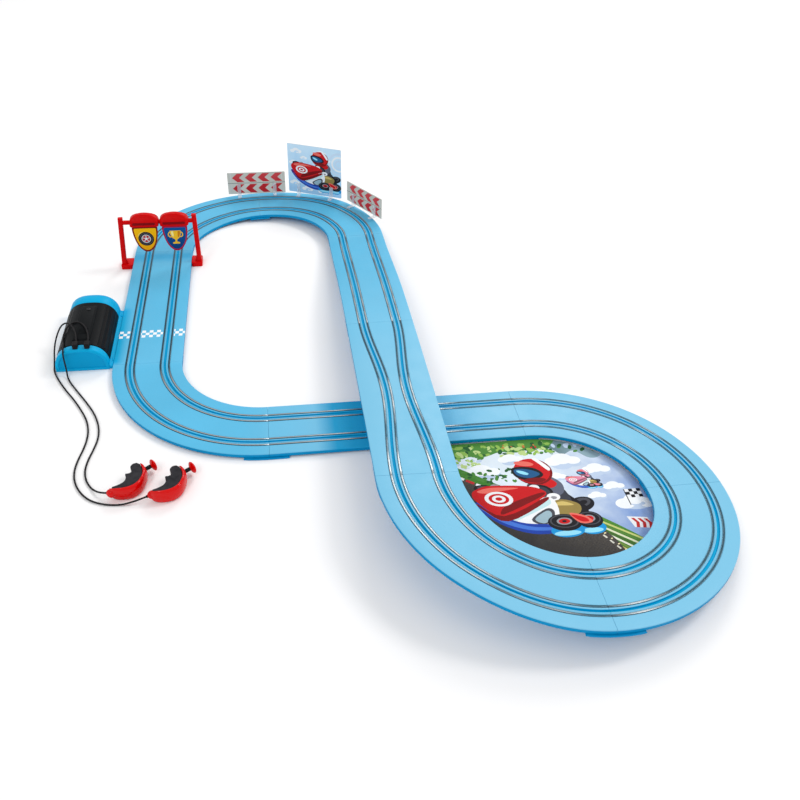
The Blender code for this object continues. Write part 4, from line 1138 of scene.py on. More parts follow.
def picture_art(length, height):
    """A helmeted kart driver against a pale blue sky with curled clouds."""
    sky = ink("print_board_sky", (172, 216, 248), (206, 234, 252), (0, 0, 1), (0.03, 0.11), cloud=0.12)
    pale, white = inks("swirl", "cloud")
    shapes = [(sky, rectangle(-1, -1, length + 1, height + 1))]
    for size, material in ((22, pale), (18, sky), (15, white), (11.5, sky), (8.5, pale), (5, sky)):
        shapes.append((material, ellipse(0.96 * length, 0.70 * height, size, size)))
    for x, y, size in ((0.16, 0.86, 6.5), (0.62, 0.87, 6), (0.10, 0.62, 5), (0.30, 0.74, 4),
                       (0.72, 0.74, 5), (0.12, 0.20, 6), (0.36, 0.10, 6.5), (0.66, 0.08, 6),
                       (0.90, 0.20, 5.5), (0.88, 0.40, 4), (0.20, 0.40, 4.5)):
        x, y = x * length, y * height
        shapes += [(white, shape) for shape in puffs((x - size, y, 0.7 * size), (x, y + 0.25 * size, size),
                                                     (x + size, y, 0.75 * size))]
        shapes.append((sky, ellipse(x + 0.2 * size, y - 0.2 * size, 0.7 * size, 0.4 * size)))
        shapes.append((white, ellipse(x + 0.4 * size, y - 0.35 * size, 0.35 * size, 0.2 * size)))
    return shapes + kart_art((0.06 * length, 0.10 * height), (0.90 * length, 0.80 * height), KART_RED)


def build_boards():
    """The three boards, each with its print and its two clips."""
    back = ink("board_back", (214, 211, 204))
    clips = iter(range(1, len(BOARDS) * len(CLIP_PLACES) + 1))
    for name, start, end, low, high in BOARDS:
        start, end = Vector(start), Vector(end)
        along = (end - start).normalized()
        inward = Vector((along.y, -along.x))
        length, height = (end - start).length * 1000, (high - low) * 1000
        picture = name == "picture_board"
        art = (picture_art if picture else chevron_art)(length, height)

        def place(u, v, back_by, start=start, along=along, inward=inward, low=low):
            spot = start + along * (u / 1000) - inward * back_by
            return (spot.x, spot.y, low + v / 1000)
        printed_sheet(f"{name}_print", box_outline((0, 0), (length, height), 1.2), art, place,
                      BOARD_THICK, back, replaces=name, slot="board_sky" if picture else "board_grey")
        for share in CLIP_PLACES:
            build_clip(next(clips), start + along * (end - start).length * share, along, inward, low)


def build_clip(number, middle, along, inward, board_low):
    """A clear clip: a rounded tongue on the roadway and two springy prongs that hold the board."""
    name = f"board_clip_{number}"
    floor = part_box(name)[0].z
    reach = max((Vector((*c.xy,)) - CROSSING.xy - middle).dot(inward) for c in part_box(name))
    foot = min(CLIP_FOOT, max(reach, 0.006))
    seat, top = board_low - GAP, board_low + PRONG_HEIGHT
    front, rear = GAP, -BOARD_THICK - GAP
    profile = [
        (foot, floor), (foot, floor + 0.6 * PRONG), (foot - 0.001, floor + PRONG),
        (front + 2 * PRONG, floor + PRONG),
        (front + PRONG, floor + 2 * PRONG), (front + PRONG, top - 0.003), (front + 1.5 * PRONG, top),
        (front + 0.7 * PRONG, top), (front, top - 0.003), (front, seat), (rear, seat), (rear, top - 0.001),
        (rear - 0.5 * PRONG, top), (rear - PRONG, top - 0.001), (rear - PRONG, floor + 0.4 * PRONG),
        (rear - 0.6 * PRONG, floor),
    ]

    def place(d, z, across):
        spot = middle + inward * d + along * across
        return (spot.x, spot.y, z)
    bm = rounded_prism(profile, -CLIP_WIDTH / 2, CLIP_WIDTH / 2, 0.00025, place=place, steps=2)
    add_piece(f"{name}_moulding", bm, [clear_plastic()], replaces=name, slot="clip_clear", smooth=30)


# ---------------------------------------------------------------- start gantry
GANTRY_Y = 0.4600
POST_DEPTH = 0.0070
POST_WIDTH = 0.0076
POST_LEANS = (0.0065, 0.0005)
POST_TOPS = (0.0905, 0.0930)
POST_FEET = (-2 * RADIUS - HALF - 0.0188, -2 * RADIUS + HALF + 0.0175)   # outer faces of the posts
BAR_Z = (0.0790, 0.0850)
HOOD_CENTRES = (-0.3525, -0.3045)
HOOD_WIDTH = 0.0462
HOOD_Y = (GANTRY_Y - 0.0050, GANTRY_Y + 0.0140)
HOOD_Z = (0.0768, 0.0965)
HOOD_DOME = 0.0150               # height of the domed part
HOOD_ROUNDING = 0.0055           # how far the dome draws in from front to back
RIB_DEPTH, RIB_PITCH = 0.00030, 0.00095
HOOD_STRIP = (0.0180, 0.0799, 0.0842)            # half width, lower and upper edge
FOOT_Y = (GANTRY_Y - 0.0040, GANTRY_Y + 0.0220)
FOOT_HEIGHT = 0.0075
SHIELD_WIDTH = 0.0410
SHIELD_TIP_Z = 0.0310
SHIELD_FRONT = GANTRY_Y - 0.0030
SHIELD_THICK = 0.0016
# Right side of a plaque from the top to the tip: shares of its half width and of its height
SHIELD_SIDE = ((0.93, 0.0), (1.0, 0.05), (0.985, 0.20), (0.94, 0.36), (0.84, 0.56), (0.70, 0.73),
               (0.52, 0.86), (0.30, 0.955), (0.10, 0.995))


def build_hood(bm, centre):
    """A domed hood, built up in level slices so that its upper part carries fine ribs."""
    rings = []
    shoulder = HOOD_Z[1] - HOOD_DOME
    dome = [shoulder + HOOD_DOME * math.sin(t) for t in np.linspace(0.05, 0.5 * math.pi, 44)]
    for level in (*np.linspace(HOOD_Z[0], shoulder, 10), *dome):
        rise = max(level - shoulder, 0.0) / HOOD_DOME
        shrink = (1 - rise ** 2.6) ** (1 / 2.4) if rise < 1 else 0.0
        half = 0.5 * HOOD_WIDTH * max(shrink, 0.03) * (0.97 if level < HOOD_Z[0] + 0.0006 else 1.0)
        rib = RIB_DEPTH * (math.sin((level - shoulder) / RIB_PITCH * math.pi) > 0) * (0.05 < rise < 0.97)
        round_off = HOOD_ROUNDING * rise ** 2
        low = (centre - half + rib, HOOD_Y[0] + rib + round_off)
        high = (centre + half - rib, HOOD_Y[1] - rib - round_off)
        corner = min(0.0030, 0.45 * (high[0] - low[0]), 0.45 * (high[1] - low[1]))
        rings.append([(x, y, level) for x, y in box_outline(low, high, corner, 4)])
    loft(rings, bm=bm)


def build_gantry():
    """The red frame in one piece: posts, feet, gussets, crossbar and hoods with a darker strip."""
    red = paint("gantry_red", (208, 6, 9), 0.30, grain=0.6, mottle=0.04, level=0.06)
    dark = paint("gantry_strip", (132, 8, 14), 0.40, grain=0.6)
    bm = bmesh.new()
    for side, foot, lean, high in zip((1, -1), POST_FEET, POST_LEANS, POST_TOPS):
        top, width = foot + side * lean, side * POST_WIDTH
        post = [(foot, 0.001), (foot + width, 0.001), (top + width, high), (top, high)]
        rounded_prism(post, GANTRY_Y, GANTRY_Y + POST_DEPTH, 0.0012, bm=bm, place=upright, steps=4)
        inner = -2 * RADIUS - side * (HALF + GAP)
        outer = foot - side * 0.0006
        low, high = (min(inner, outer), FOOT_Y[0]), (max(inner, outer), FOOT_Y[1])
        rounded_prism(box_outline(low, high, 0.0024, 5), 0.0, FOOT_HEIGHT, 0.0011, bm=bm, round_low=False)
        gusset = [(foot + width - side * 0.001, 0.004), (foot + side * 0.0125, 0.004), (foot + width, 0.0190)]
        rounded_prism(gusset, GANTRY_Y + 0.0022, GANTRY_Y + 0.0048, 0.0005, bm=bm, place=upright)
    west, east = POST_FEET[0] + POST_LEANS[0] + 0.001, POST_FEET[1] - POST_LEANS[1] - 0.001
    rounded_prism(rectangle(west, BAR_Z[0], east, BAR_Z[1]), GANTRY_Y + 0.0006,
                  GANTRY_Y + POST_DEPTH - 0.0006, 0.0010, bm=bm, place=upright)
    for centre in HOOD_CENTRES:
        build_hood(bm, centre)
    bmesh.ops.recalc_face_normals(bm, faces=bm.faces)
    since = len(bm.faces)
    half, low, high = HOOD_STRIP
    for centre in HOOD_CENTRES:
        strip = box_outline((centre - half, low), (centre + half, high), 0.0014)
        rounded_prism(strip, HOOD_Y[0] - 0.0003, HOOD_Y[0] + 0.002, 0.0002, bm=bm, place=upright)
    tint(bm, since, 1)
    add_piece("gantry_moulding", bm, [red, dark], replaces="gantry_frame", slot="gantry_red", smooth=32)
    build_shields()


def tint(bm, since, index):
    """Gives the faces made since a count another of the piece's materials."""
    bm.faces.ensure_lookup_table()
    for face in bm.faces[since:]:
        face.material_index = index


def shield_outline(scale=1.0):
    """A plaque's outline about its own middle, in millimetres, with rounded shoulders."""
    half, height = 500 * SHIELD_WIDTH, 1000 * (HOOD_Z[0] - GAP - SHIELD_TIP_Z)
    right = [(half * x, 0.5 * height - height * z) for x, z in SHIELD_SIDE]
    return [(scale * x, scale * z) for x, z in right + mirrored(right)]


def wheel_art():
    """A tyre with a five-spoked wheel on gold."""
    gold = ink("print_gold", (255, 190, 0), (250, 165, 0), (0, 0, 1), (0.07, 0.03))
    rim, light, black, shine, hub, red, white = inks("rim", "gold_light", "black", "tyre_shine", "hub", "red",
                                                     "white")
    shapes = [
        (rim, shield_outline()), (gold, shield_outline(0.87)), (light, ellipse(-6, 8, 7, 5, 0.5)),
        (black, ellipse(0, 1, 12.5, 12.5, sides=48)), (shine, ellipse(0, 1, 10.6, 10.6)),
        (black, ellipse(0, 1, 9.8, 9.8)), (hub, ellipse(0, 1, 7.6, 7.6)), (red, ellipse(0, 1, 6.2, 6.2)),
    ]
    for k in range(5):
        t = 2 * math.pi * k / 5 + 0.3
        shapes.append((hub, ellipse(3.6 * math.cos(t), 1 + 3.6 * math.sin(t), 2.9, 0.9, t, 12)))
    return [*shapes, (white, ellipse(0, 1, 1.9, 1.9))]


def cup_art():
    """A trophy cup with two handles on deep blue."""
    deep = ink("print_deep_blue", (0, 58, 114), (0, 80, 148), (0, 0, 1), (0.03, 0.07))
    pink, brass, pale, shaded = inks("pink", "cup", "cup_light", "cup_shade")
    side = [(9, 14), (8.4, 7), (5.4, 0.5), (1.6, -2.4), (1.4, -6), (5.6, -7.6), (5.6, -10)]
    bowl = mirrored(side)
    return [
        (pink, shield_outline()), (deep, shield_outline(0.87)),
        (brass, ellipse(-8.2, 7, 4.2, 5.2)), (deep, ellipse(-8.2, 7, 2.4, 3.4)),
        (brass, ellipse(8.2, 7, 4.2, 5.2)), (deep, ellipse(8.2, 7, 2.4, 3.4)),
        (brass, [bowl[-1], *side, *bowl[:-1]]),
        (pale, [(-7, 13), (-3.4, 13), (-3, 6), (-4.2, 2), (-6.4, 7)]),
        (shaded, [(4, 13), (8, 13), (7.4, 7), (4.4, 1.3), (3, 3)]),
    ]


def build_shields():
    middle = 0.5 * (HOOD_Z[0] - GAP + SHIELD_TIP_Z)
    back = ink("shield_back", (200, 30, 30))
    for label, centre, art, slot in (("left", HOOD_CENTRES[0], wheel_art(), "shield_gold"),
                                     ("right", HOOD_CENTRES[1], cup_art(), "shield_blue")):
        def place(x, z, down, centre=centre):
            return (centre + x / 1000, SHIELD_FRONT + down, middle + z / 1000)
        printed_sheet(f"gantry_plaque_{label}", shield_outline(), art, place, SHIELD_THICK, back,
                      replaces=f"gantry_shield_{label}", slot=slot)


# ---------------------------------------------------------------- battery box
BOX_X = -0.4230
BOX_HALF = 0.0370
BOX_HEIGHT = 0.0360
BOX_Y = (0.1675, 0.3160)
RIB_Y = (0.1800, 0.2935)
SILL = 0.0080
TRAY_FLOOR = 0.0020
TRAY_HALF = 0.0275
PLATE_HEIGHT = 0.0062
COVER_THICK = 0.0020
ROUNDNESS = 0.78                 # 1 for an elliptical arch, less for a squarer one
RIB_EDGE = 0.0016                # rounding of the outer ribs' edges
# Sunk panel in the front rib's face: inset, depth and base of its steps, in millimetres
PANEL_STEPS = ((4.6, 0.0, 2.8), (5.0, 0.4, 3.2), (5.1, 1.5, 3.4))


def arch(half, height, base=0.0, sides=56):
    """A rounded arch on a flat base, centred on the battery box."""
    points = []
    for k in range(sides + 1):
        t = math.pi * k / sides
        across = math.copysign(abs(math.cos(t)) ** ROUNDNESS, math.cos(t))
        points.append((BOX_X + half * across, base + (height - base) * math.sin(t) ** ROUNDNESS))
    return points


def build_rib(bm, start, end, panel):
    """One end rib of the box, edges rounded; with a panel, its outer face is sunk there."""
    turns = [0.5 * math.pi * k / 4 for k in range(5)]
    rings = [(RIB_EDGE * (1 - math.sin(t)), start + RIB_EDGE * (1 - math.cos(t))) for t in turns]
    rings += [(0.0, end - RIB_EDGE), (0.3 * RIB_EDGE, end - 0.3 * RIB_EDGE), (RIB_EDGE, end)]
    sections = [upright_ring(arch(BOX_HALF - inset, BOX_HEIGHT - inset), y) for inset, y in rings]
    if panel:
        for inset, depth, base in PANEL_STEPS:
            inner = arch(BOX_HALF - inset / 1000, BOX_HEIGHT - inset / 1000, base / 1000)
            sections.insert(0, upright_ring(inner, start + depth / 1000))
    loft(sections, bm=bm)


def upright_ring(points, y):
    return [(x, y, z) for x, z in points]


def build_box_front(cyan):
    """The front rib, with its sunk panel and the sockets for the two plugs."""
    # The sunk panel's face takes a darker cyan: painted shade in the recess
    panel = paint("box_panel_shade", (0, 156, 208), 0.42, mottle=0.05)
    bm = bmesh.new()
    build_rib(bm, BOX_Y[0], RIB_Y[0], panel=True)
    bm.normal_update()
    for face in bm.faces:
        depth = face.calc_center_median().y - BOX_Y[0]
        if 0.0006 < depth < 0.003 and len(face.verts) > 20 and abs(face.normal.y) > 0.9:
            face.material_index = 1
    front = add_piece("battery_box_front", bm, [cyan, panel], replaces="battery_box_base", slot="box_cyan",
                      smooth=35)
    for number in (1, 2):
        low, high = (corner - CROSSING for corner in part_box(f"plug_{number}"))
        middle = 0.5 * (low + high)
        cut(front, rounded_block((middle.x - 0.0028, middle.y - 0.0018, BOX_HEIGHT - 0.0080),
                                 (middle.x + 0.0028, middle.y + 0.0022, BOX_HEIGHT + 0.01), 0.0003, 0.0004))


def build_box():
    """The cyan base: front rib, rear rib, the tray between them and the plate to the track."""
    cyan = paint("box_cyan", (4, 168, 218), 0.34, mottle=0.04)
    build_box_front(cyan)
    bm = bmesh.new()
    build_rib(bm, -BOX_Y[1], -RIB_Y[1], panel=False)
    bmesh.ops.scale(bm, vec=(1, -1, 1), verts=bm.verts)
    soft = 0.0006
    wall = [(x, z) for x, z in arch(BOX_HALF, BOX_HEIGHT) if z < SILL - soft]
    east = [p for p in wall if p[0] > BOX_X]
    west = [p for p in wall if p[0] < BOX_X]
    rim = [(east[-1][0], SILL - soft), (east[-1][0] - soft, SILL), (BOX_X + TRAY_HALF + soft, SILL),
           (BOX_X + TRAY_HALF, SILL - soft)]
    floor = [(BOX_X + TRAY_HALF, TRAY_FLOOR + 0.001), (BOX_X + TRAY_HALF - 0.001, TRAY_FLOOR)]
    across = [(2 * BOX_X - x, z) for x, z in reversed(rim + floor)]
    tray = east + rim + floor + across + west
    loft([upright_ring(tray, y) for y in np.linspace(RIB_Y[0] - 0.001, RIB_Y[1] + 0.001, 12)], bm=bm)
    for start, end in ((RIB_Y[0] - 0.001, RIB_Y[0] + 0.004), (RIB_Y[1] - 0.004, RIB_Y[1] + 0.001)):
        rounded_block((BOX_X - TRAY_HALF - 0.001, start, 0.001), (BOX_X + TRAY_HALF + 0.001, end, SILL),
                      0.0004, 0.0006, bm=bm)
    rounded_block((BOX_X - 0.0012, RIB_Y[0], 0.001), (BOX_X + 0.0012, RIB_Y[1], TRAY_FLOOR + 0.0035),
                  0.0003, 0.0004, bm=bm)
    build_flange(bm)
    add_piece("battery_box_tray", bm, [cyan], replaces="battery_box_base", slot="box_cyan", smooth=35)


def build_flange(bm):
    """The plate to the track: hollowed towards the box, with rounded ends and a foot in front."""
    inner, outer = BOX_X + BOX_HALF - 0.004, -2 * RADIUS - HALF - GAP
    curve = [(BOX_X + BOX_HALF - 0.0008, SILL + 0.0012), (BOX_X + BOX_HALF + 0.0004, PLATE_HEIGHT + 0.0006),
             (BOX_X + BOX_HALF + 0.0014, PLATE_HEIGHT)]
    section = [(inner, 0.0002), (outer, 0.0002), (outer, PLATE_HEIGHT - 0.0005),
               (outer - 0.0003, PLATE_HEIGHT), *reversed(curve), (inner, SILL + 0.0010)]
    rings = []
    soft, steps = 0.0010, 24
    for k in range(steps + 1):
        y = BOX_Y[0] + soft + (BOX_Y[1] - BOX_Y[0] - 2 * soft) * k / steps
        drop = soft * (k in (0, steps))
        level = [(x, min(z, PLATE_HEIGHT + 0.002) - drop * (z > 0.003)) for x, z in section]
        rings.append(upright_ring(level, y))
    loft(rings, bm=bm)
    for y in (BOX_Y[0] + 0.012, BOX_Y[1] - 0.020):
        rounded_block((outer - 0.0026, y, 0.004), (outer, y + 0.0085, DECK_TOP - 0.0004),
                      0.0005, 0.0008, bm=bm)


def build_cover():
    """The black lid: an even arched shell with raised ribs, a top panel and its screw."""
    black = paint("cover_black", (10, 14, 17), 0.36, mottle=0.10, level=0.06)
    low = SILL + GAP
    start, end = RIB_Y[0] + GAP, RIB_Y[1] - GAP
    outer = [(x, z) for x, z in arch(BOX_HALF, BOX_HEIGHT, sides=120) if z > low]
    ribbed = []
    for k, (x, z) in enumerate(outer):
        share = k / (len(outer) - 1)
        raised = 0.00045 * (abs((share * 15) % 1 - 0.5) < 0.16 and not 0.30 < share < 0.70)
        reach = math.hypot(x - BOX_X, z)
        ribbed.append((x + raised * (x - BOX_X) / reach, z + raised * z / reach))
    inner = [(x, z) for x, z in arch(BOX_HALF - COVER_THICK, BOX_HEIGHT - COVER_THICK, sides=120) if z > low]
    inside = [(outer[-1][0], low), (inner[-1][0], low), *reversed(inner), (inner[0][0], low)]
    shell, plain = ([(outer[0][0], low), *line, *inside] for line in (ribbed, outer))
    soft = 0.0006
    eased = [(BOX_X + (x - BOX_X) * (1 - soft / BOX_HALF), z - soft * (z > 0.02)) for x, z in plain]
    stations = [(start, eased), (start + soft, plain), (start + 0.004, plain), (start + 0.0044, shell),
                (end - 0.0044, shell), (end - 0.004, plain), (end - soft, plain), (end, eased)]
    bm = loft([upright_ring(points, y) for y, points in stations])
    middle = 0.5 * (start + end)
    for half, reach, high in ((0.0120, 0.046, 0.0364), (0.0100, 0.044, 0.0368)):
        rounded_block((BOX_X - half, middle - reach, 0.034), (BOX_X + half, middle + reach, high),
                      0.0004, 0.0022, bm=bm)
    for k in range(5):
        y = middle - 0.030 + 0.0030 * k
        rounded_block((BOX_X - 0.0062, y, 0.035), (BOX_X + 0.0062, y + 0.0014, 0.0373), 0.0003, 0.0006, bm=bm)
    bmesh.ops.recalc_face_normals(bm, faces=bm.faces)
    verts, faces = len(bm.verts), len(bm.faces)
    screw = [(0, 0), (3.0, 0), (3.0, 0.5), (2.6, 0.9), (0.9, 1.0), (0.7, 0.4), (0, 0.3)]
    lathe([(radius / 1000, z / 1000) for radius, z in screw], 32, bm)
    moved(bm, Matrix.Translation((BOX_X, middle + 0.036, 0.0367)), verts)
    tint(bm, faces, 1)
    steel = paint("screw_steel", (66, 66, 68), 0.36, metallic=1.0, mottle=0.08)
    add_piece("battery_cover_shell", bm, [black, steel], replaces="battery_cover", slot="cover_black",
              smooth=30)


def cell_wrap():
    """A foil-wrapped dry cell: plain dark wrap with a bright band, bare metal at its cap."""
    g = Graph("cell_wrap")
    stripe = g.math("LESS_THAN", g.math("FRACT", g.math("MULTIPLY", g.axes()[1], 19.4)), 0.26)
    grain = g.noise(300, 4.0, stretch=(1.0, 0.1, 1.0))
    tone = g.blend(g.span(grain, 0.3, 0.7), srgb(40, 62, 48), srgb(56, 84, 62))
    g.set(Base_Color=g.blend(stripe, tone, srgb(188, 150, 78)), Roughness=g.span(grain, 0.3, 0.7, 0.25, 0.4))
    g.set(Metallic=0.5, Normal=g.bump(g.noise(900, 2.0), 0.00003))
    return g.material


def dress(node, material):
    """A CAD node whose shape is right keeps it, and gets a detailed material."""
    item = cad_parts[node]
    for index in range(len(item.material_slots)):
        item.material_slots[index].material = material


# ---------------------------------------------------------------- thumb controllers
CONTROLLERS = ((-0.3415, -0.0810), (-0.2942, -0.0908))
SHELL_TOP = 0.0190
SHELL_SPLIT = 0.0100
SHELL_FLOOR = 0.0020
GRIP_TOP = 0.0175
AXIS_TURN = math.radians(37)
AXIS_Z = 0.0100
POCKET = (0.0090, 0.0264)        # from the controller's centre along the plunger
POCKET_RADIUS = 0.0034
BORE_END = 0.0400
BORE_RADIUS = 0.0029
STEM_START = 0.0240
BUTTON_START = 0.0388
# Edges of the crescent shell about a controller's centre (millimetres), from tail to head
OUTER_EDGE = ((-15.0, -16.2), (-12.0, -20.0), (-4.0, -23.2), (6.0, -24.0), (16.0, -21.0),
              (24.0, -12.5), (28.0, 0.0), (28.2, 11.0), (24.5, 20.0), (18.7, 24.0))
RIM_EDGE = ((-11.2, -14.7), (-9.6, -17.6), (-5.0, -20.0), (5.0, -19.8), (14.6, -16.0),
            (20.9, -8.6), (23.9, 2.4), (23.1, 12.0), (20.3, 19.4), (18.3, 23.8))
INNER_EDGE = ((17.5, 24.2), (11.0, 22.5), (8.3, 17.0), (11.0, 10.0), (8.0, 6.0), (3.6, 5.0), (5.0, -2.0),
              (2.5, -9.0), (-5.0, -14.0), (-11.5, -14.8))
GRIP_GAP = 0.40                  # between grip and rim, in millimetres
GRIP_TAIL = (0.0135, 0.0155)     # how far the grip's tail lies west and south of the centre
GRIP_FALL = 0.0140               # the grip gets lower within this reach of its tail
SHELL_GAP = 0.00004
STATIONS = 73                    # places along the crescent
TAIL_CAP, HEAD_CAP = 13, 7       # rounded-off stations at the crescent's two ends
EDGE_POINTS = 60
FLOOR_INSET = 0.0030
FLOOR_KEPT = (slice(12, 57), slice(63, 108))     # the floor's outline leaves out the sharp ends


def even_line(points, count):
    """Points at even spacing along a smooth curve."""
    line = np.array(smooth_line(points, 16))
    along = np.concatenate(([0], np.cumsum(np.linalg.norm(np.diff(line, axis=0), axis=1))))
    places = np.linspace(0, along[-1], count)
    return np.stack([np.interp(places, along, line[:, k]) for k in range(line.shape[1])], axis=1)


def shell_section(width, upper):
    """Half of the crescent's section: (share of the width from the outer edge, height)."""
    edge = 0.7 / width
    if not upper:
        split = 1000 * SHELL_SPLIT
        share = min(0.80, 3.6 / width)
        turns = np.linspace(0.03, 0.5 * math.pi, 12)
        foot = [(share * (1 - math.cos(t)), split * (1 - math.sin(t))) for t in turns]
        return [(0.1 * edge, split), *foot, (1 - edge, 0.0), (1.0, 0.5), (1.0, split)]
    low, top = 1000 * (SHELL_SPLIT + SHELL_GAP), 1000 * SHELL_TOP
    share = min(0.72, 4.2 / width)
    turns = np.linspace(0.03, 0.5 * math.pi, 14)
    shoulder = [(share * (1 - math.cos(t)), low + (top - low) * math.sin(t)) for t in turns]
    turns = np.linspace(0, 0.5 * math.pi, 4)
    rim = [(1 - edge + edge * math.sin(t), top - 0.8 * (1 - math.cos(t))) for t in turns]
    return [(0.1 * edge, low), *shoulder, *rim, (1.0, low)]


def crescent(centre, upper):
    """Half of the banana-shaped shell, with both of its ends rounded off."""
    rings = []
    for k, (outer, rim) in enumerate(zip(even_line(OUTER_EDGE, STATIONS), even_line(RIM_EDGE, STATIONS))):
        width = np.linalg.norm(rim - outer)
        left = min(k / TAIL_CAP, (STATIONS - 1 - k) / HEAD_CAP, 1.0)
        swell = max(math.sqrt(1 - (1 - left) ** 2), 0.12)
        ring = []
        for share, z in shell_section(width, upper):
            spot = outer + (rim - outer) * (0.5 + (share - 0.5) * swell)
            seam = 1000 * (SHELL_SPLIT + SHELL_GAP * upper)
            z = seam + (z - seam) * (0.34 + 0.66 * swell)
            ring.append((centre[0] + spot[0] / 1000, centre[1] + spot[1] / 1000, z / 1000))
        rings.append(ring)
    return loft(rings)


def plan(points, centre):
    """Points in millimetres about a controller's centre, in the layout."""
    return [(centre[0] + x / 1000, centre[1] + y / 1000) for x, y in points]


def axis_matrix(centre, distance):
    """Puts local Z along the plunger axis, at a distance from the controller's centre."""
    spot = Vector((centre[0] + distance * math.cos(AXIS_TURN),
                   centre[1] + distance * math.sin(AXIS_TURN), AXIS_Z))
    turn = Matrix.Rotation(AXIS_TURN, 4, "Z") @ Matrix.Rotation(0.5 * math.pi, 4, "Y")
    return Matrix.Translation(spot) @ turn


def bore(centre):
    """The stepped hole for the plunger and its spring."""
    start, end = POCKET
    profile = [(0, start), (POCKET_RADIUS, start), (POCKET_RADIUS, end), (BORE_RADIUS, end),
               (BORE_RADIUS, BORE_END), (0, BORE_END)]
    return moved(lathe(profile, 40), axis_matrix(centre, 0.0))


def build_controller(number, centre):
    """A thumb controller: red shell, finger grip, sprung plunger and button."""
    name = f"controller_{number}"
    red = paint("controller_red", (212, 4, 3), 0.08, grain=0.12, mottle=0.03, level=0.22)
    black = paint("plunger_black", (30, 29, 31), 0.42, grain=1.2, mottle=0.12)
    build_shell(name, centre, red)
    build_grip(name, centre, black)
    build_trigger(name, centre, red, black)
    build_spring(name, centre)


def build_shell(name, centre, red):
    """The floor of the handset and the two halves of its red wall, bored for the plunger."""
    edges = [tuple(spot) for edge in (OUTER_EDGE, INNER_EDGE) for spot in even_line(edge, EDGE_POINTS)]
    outline = offset_outline(plan(edges, centre), FLOOR_INSET)
    outline = outline[FLOOR_KEPT[0]] + outline[FLOOR_KEPT[1]]
    lower = rounded_prism(outline, 0.0, SHELL_FLOOR, 0.0009)
    base = add_piece(f"{name}_floor", lower, [red], replaces=f"{name}_lower_shell", slot="controller_red",
                     smooth=35)
    base.data.shade_smooth()
    for half, upper in (("lower", False), ("upper", True)):
        wall = add_piece(f"{name}_{half}_wall", crescent(centre, upper), [red],
                         replaces=f"{name}_{half}_shell", slot="controller_red", smooth=50)
        cut(wall, bore(centre))


def build_grip(name, centre, black):
    """The finger grip, which fills the crescent from its rim to its scalloped inner edge."""
    line = [tuple(spot) for spot in even_line(INNER_EDGE, EDGE_POINTS)]
    rim = even_line(RIM_EDGE, EDGE_POINTS)
    step = np.gradient(rim, axis=0)
    inward = np.stack((-step[:, 1], step[:, 0]), axis=1)
    inward /= np.linalg.norm(inward, axis=1)[:, None]
    back = [tuple(spot) for spot in (rim + GRIP_GAP * inward)[2:-2]]
    grip = rounded_prism(plan([*line[2:-2], *back], centre), SHELL_FLOOR + GAP, GRIP_TOP, 0.0009, steps=4)
    bmesh.ops.recalc_face_normals(grip, faces=grip.faces)
    # Steep side walls take the darker black plastic: painted shade on the grip's sides
    for face in grip.faces:
        face.material_index = int(abs(face.normal.z) < 0.45)
    for vert in grip.verts:
        spot = (vert.co.x - centre[0] + GRIP_TAIL[0], vert.co.y - centre[1] + GRIP_TAIL[1])
        left = min(math.hypot(*spot) / GRIP_FALL, 1.0)
        swell = math.sqrt(max(1 - (1 - left) ** 2, 0.0))
        vert.co.z = min(vert.co.z, SHELL_SPLIT + (GRIP_TOP - SHELL_SPLIT) * (0.30 + 0.70 * swell))
    piece = add_piece(f"{name}_grip_pad", grip, [grip_rubber(), black], replaces=f"{name}_grip",
                      slot="grip_grey", smooth=40)
    cut(piece, bore(centre))


def build_trigger(name, centre, red, black):
    """The plunger stem with its guide flats, and the mushroom button on its end."""
    stem = [(0, 0), (3.0, 0), (3.1, 0.15), (3.1, 2.0), (2.95, 2.2), (2.55, 2.25), (2.55, 9.0), (2.35, 9.2),
            (2.35, 9.7), (2.55, 9.9), (2.55, 14.4), (0, 14.4)]
    crown = smooth_line([(3.2, 0.9), (5.4, 1.7), (6.9, 2.5), (7.5, 3.1), (7.6, 3.6), (7.2, 4.4), (5.4, 5.5),
                         (2.8, 6.2), (0.3, 6.4)], 4)
    button = [(0, 0), (2.2, 0), (2.4, 0.3), *crown, (0, 6.4)]
    for label, node, profile, sides, start, finish, slot, smooth in (
            ("stem", "plunger", stem, 40, STEM_START, black, "plunger_black", 35),
            ("thumb_button", "button", button, 56, BUTTON_START, red, "controller_red", 50)):
        bm = lathe([(radius / 1000, z / 1000) for radius, z in profile], sides)
        add_piece(f"{name}_{label}", moved(bm, axis_matrix(centre, start)), [finish], f"{name}_trigger",
                  f"{name}_{node}", slot, smooth)


SPRING_RADIUS, SPRING_WIRE, SPRING_TURNS = 0.0023, 0.0003, 6


def build_spring(name, centre):
    """The return spring: a coiled wire."""
    start = POCKET[0] + GAP + SPRING_WIRE
    length = STEM_START - GAP - SPRING_WIRE - start
    sides, steps = 8, SPRING_TURNS * 24
    rings = []
    for step in range(steps + 1):
        turn = 2 * math.pi * SPRING_TURNS * step / steps
        ring = []
        for k in range(sides):
            t = 2 * math.pi * k / sides
            reach = SPRING_RADIUS + SPRING_WIRE * math.cos(t)
            rise = length * step / steps + SPRING_WIRE * math.sin(t)
            ring.append((reach * math.cos(turn), reach * math.sin(turn), rise))
        rings.append(ring)
    steel = paint("spring_steel", (176, 174, 170), 0.28, metallic=1.0, mottle=0.06)
    spring = add_piece(f"{name}_coil", moved(loft(rings), axis_matrix(centre, start)), [steel],
                       replaces=f"{name}_spring", slot="contact_steel", smooth=60)
    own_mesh(spring)


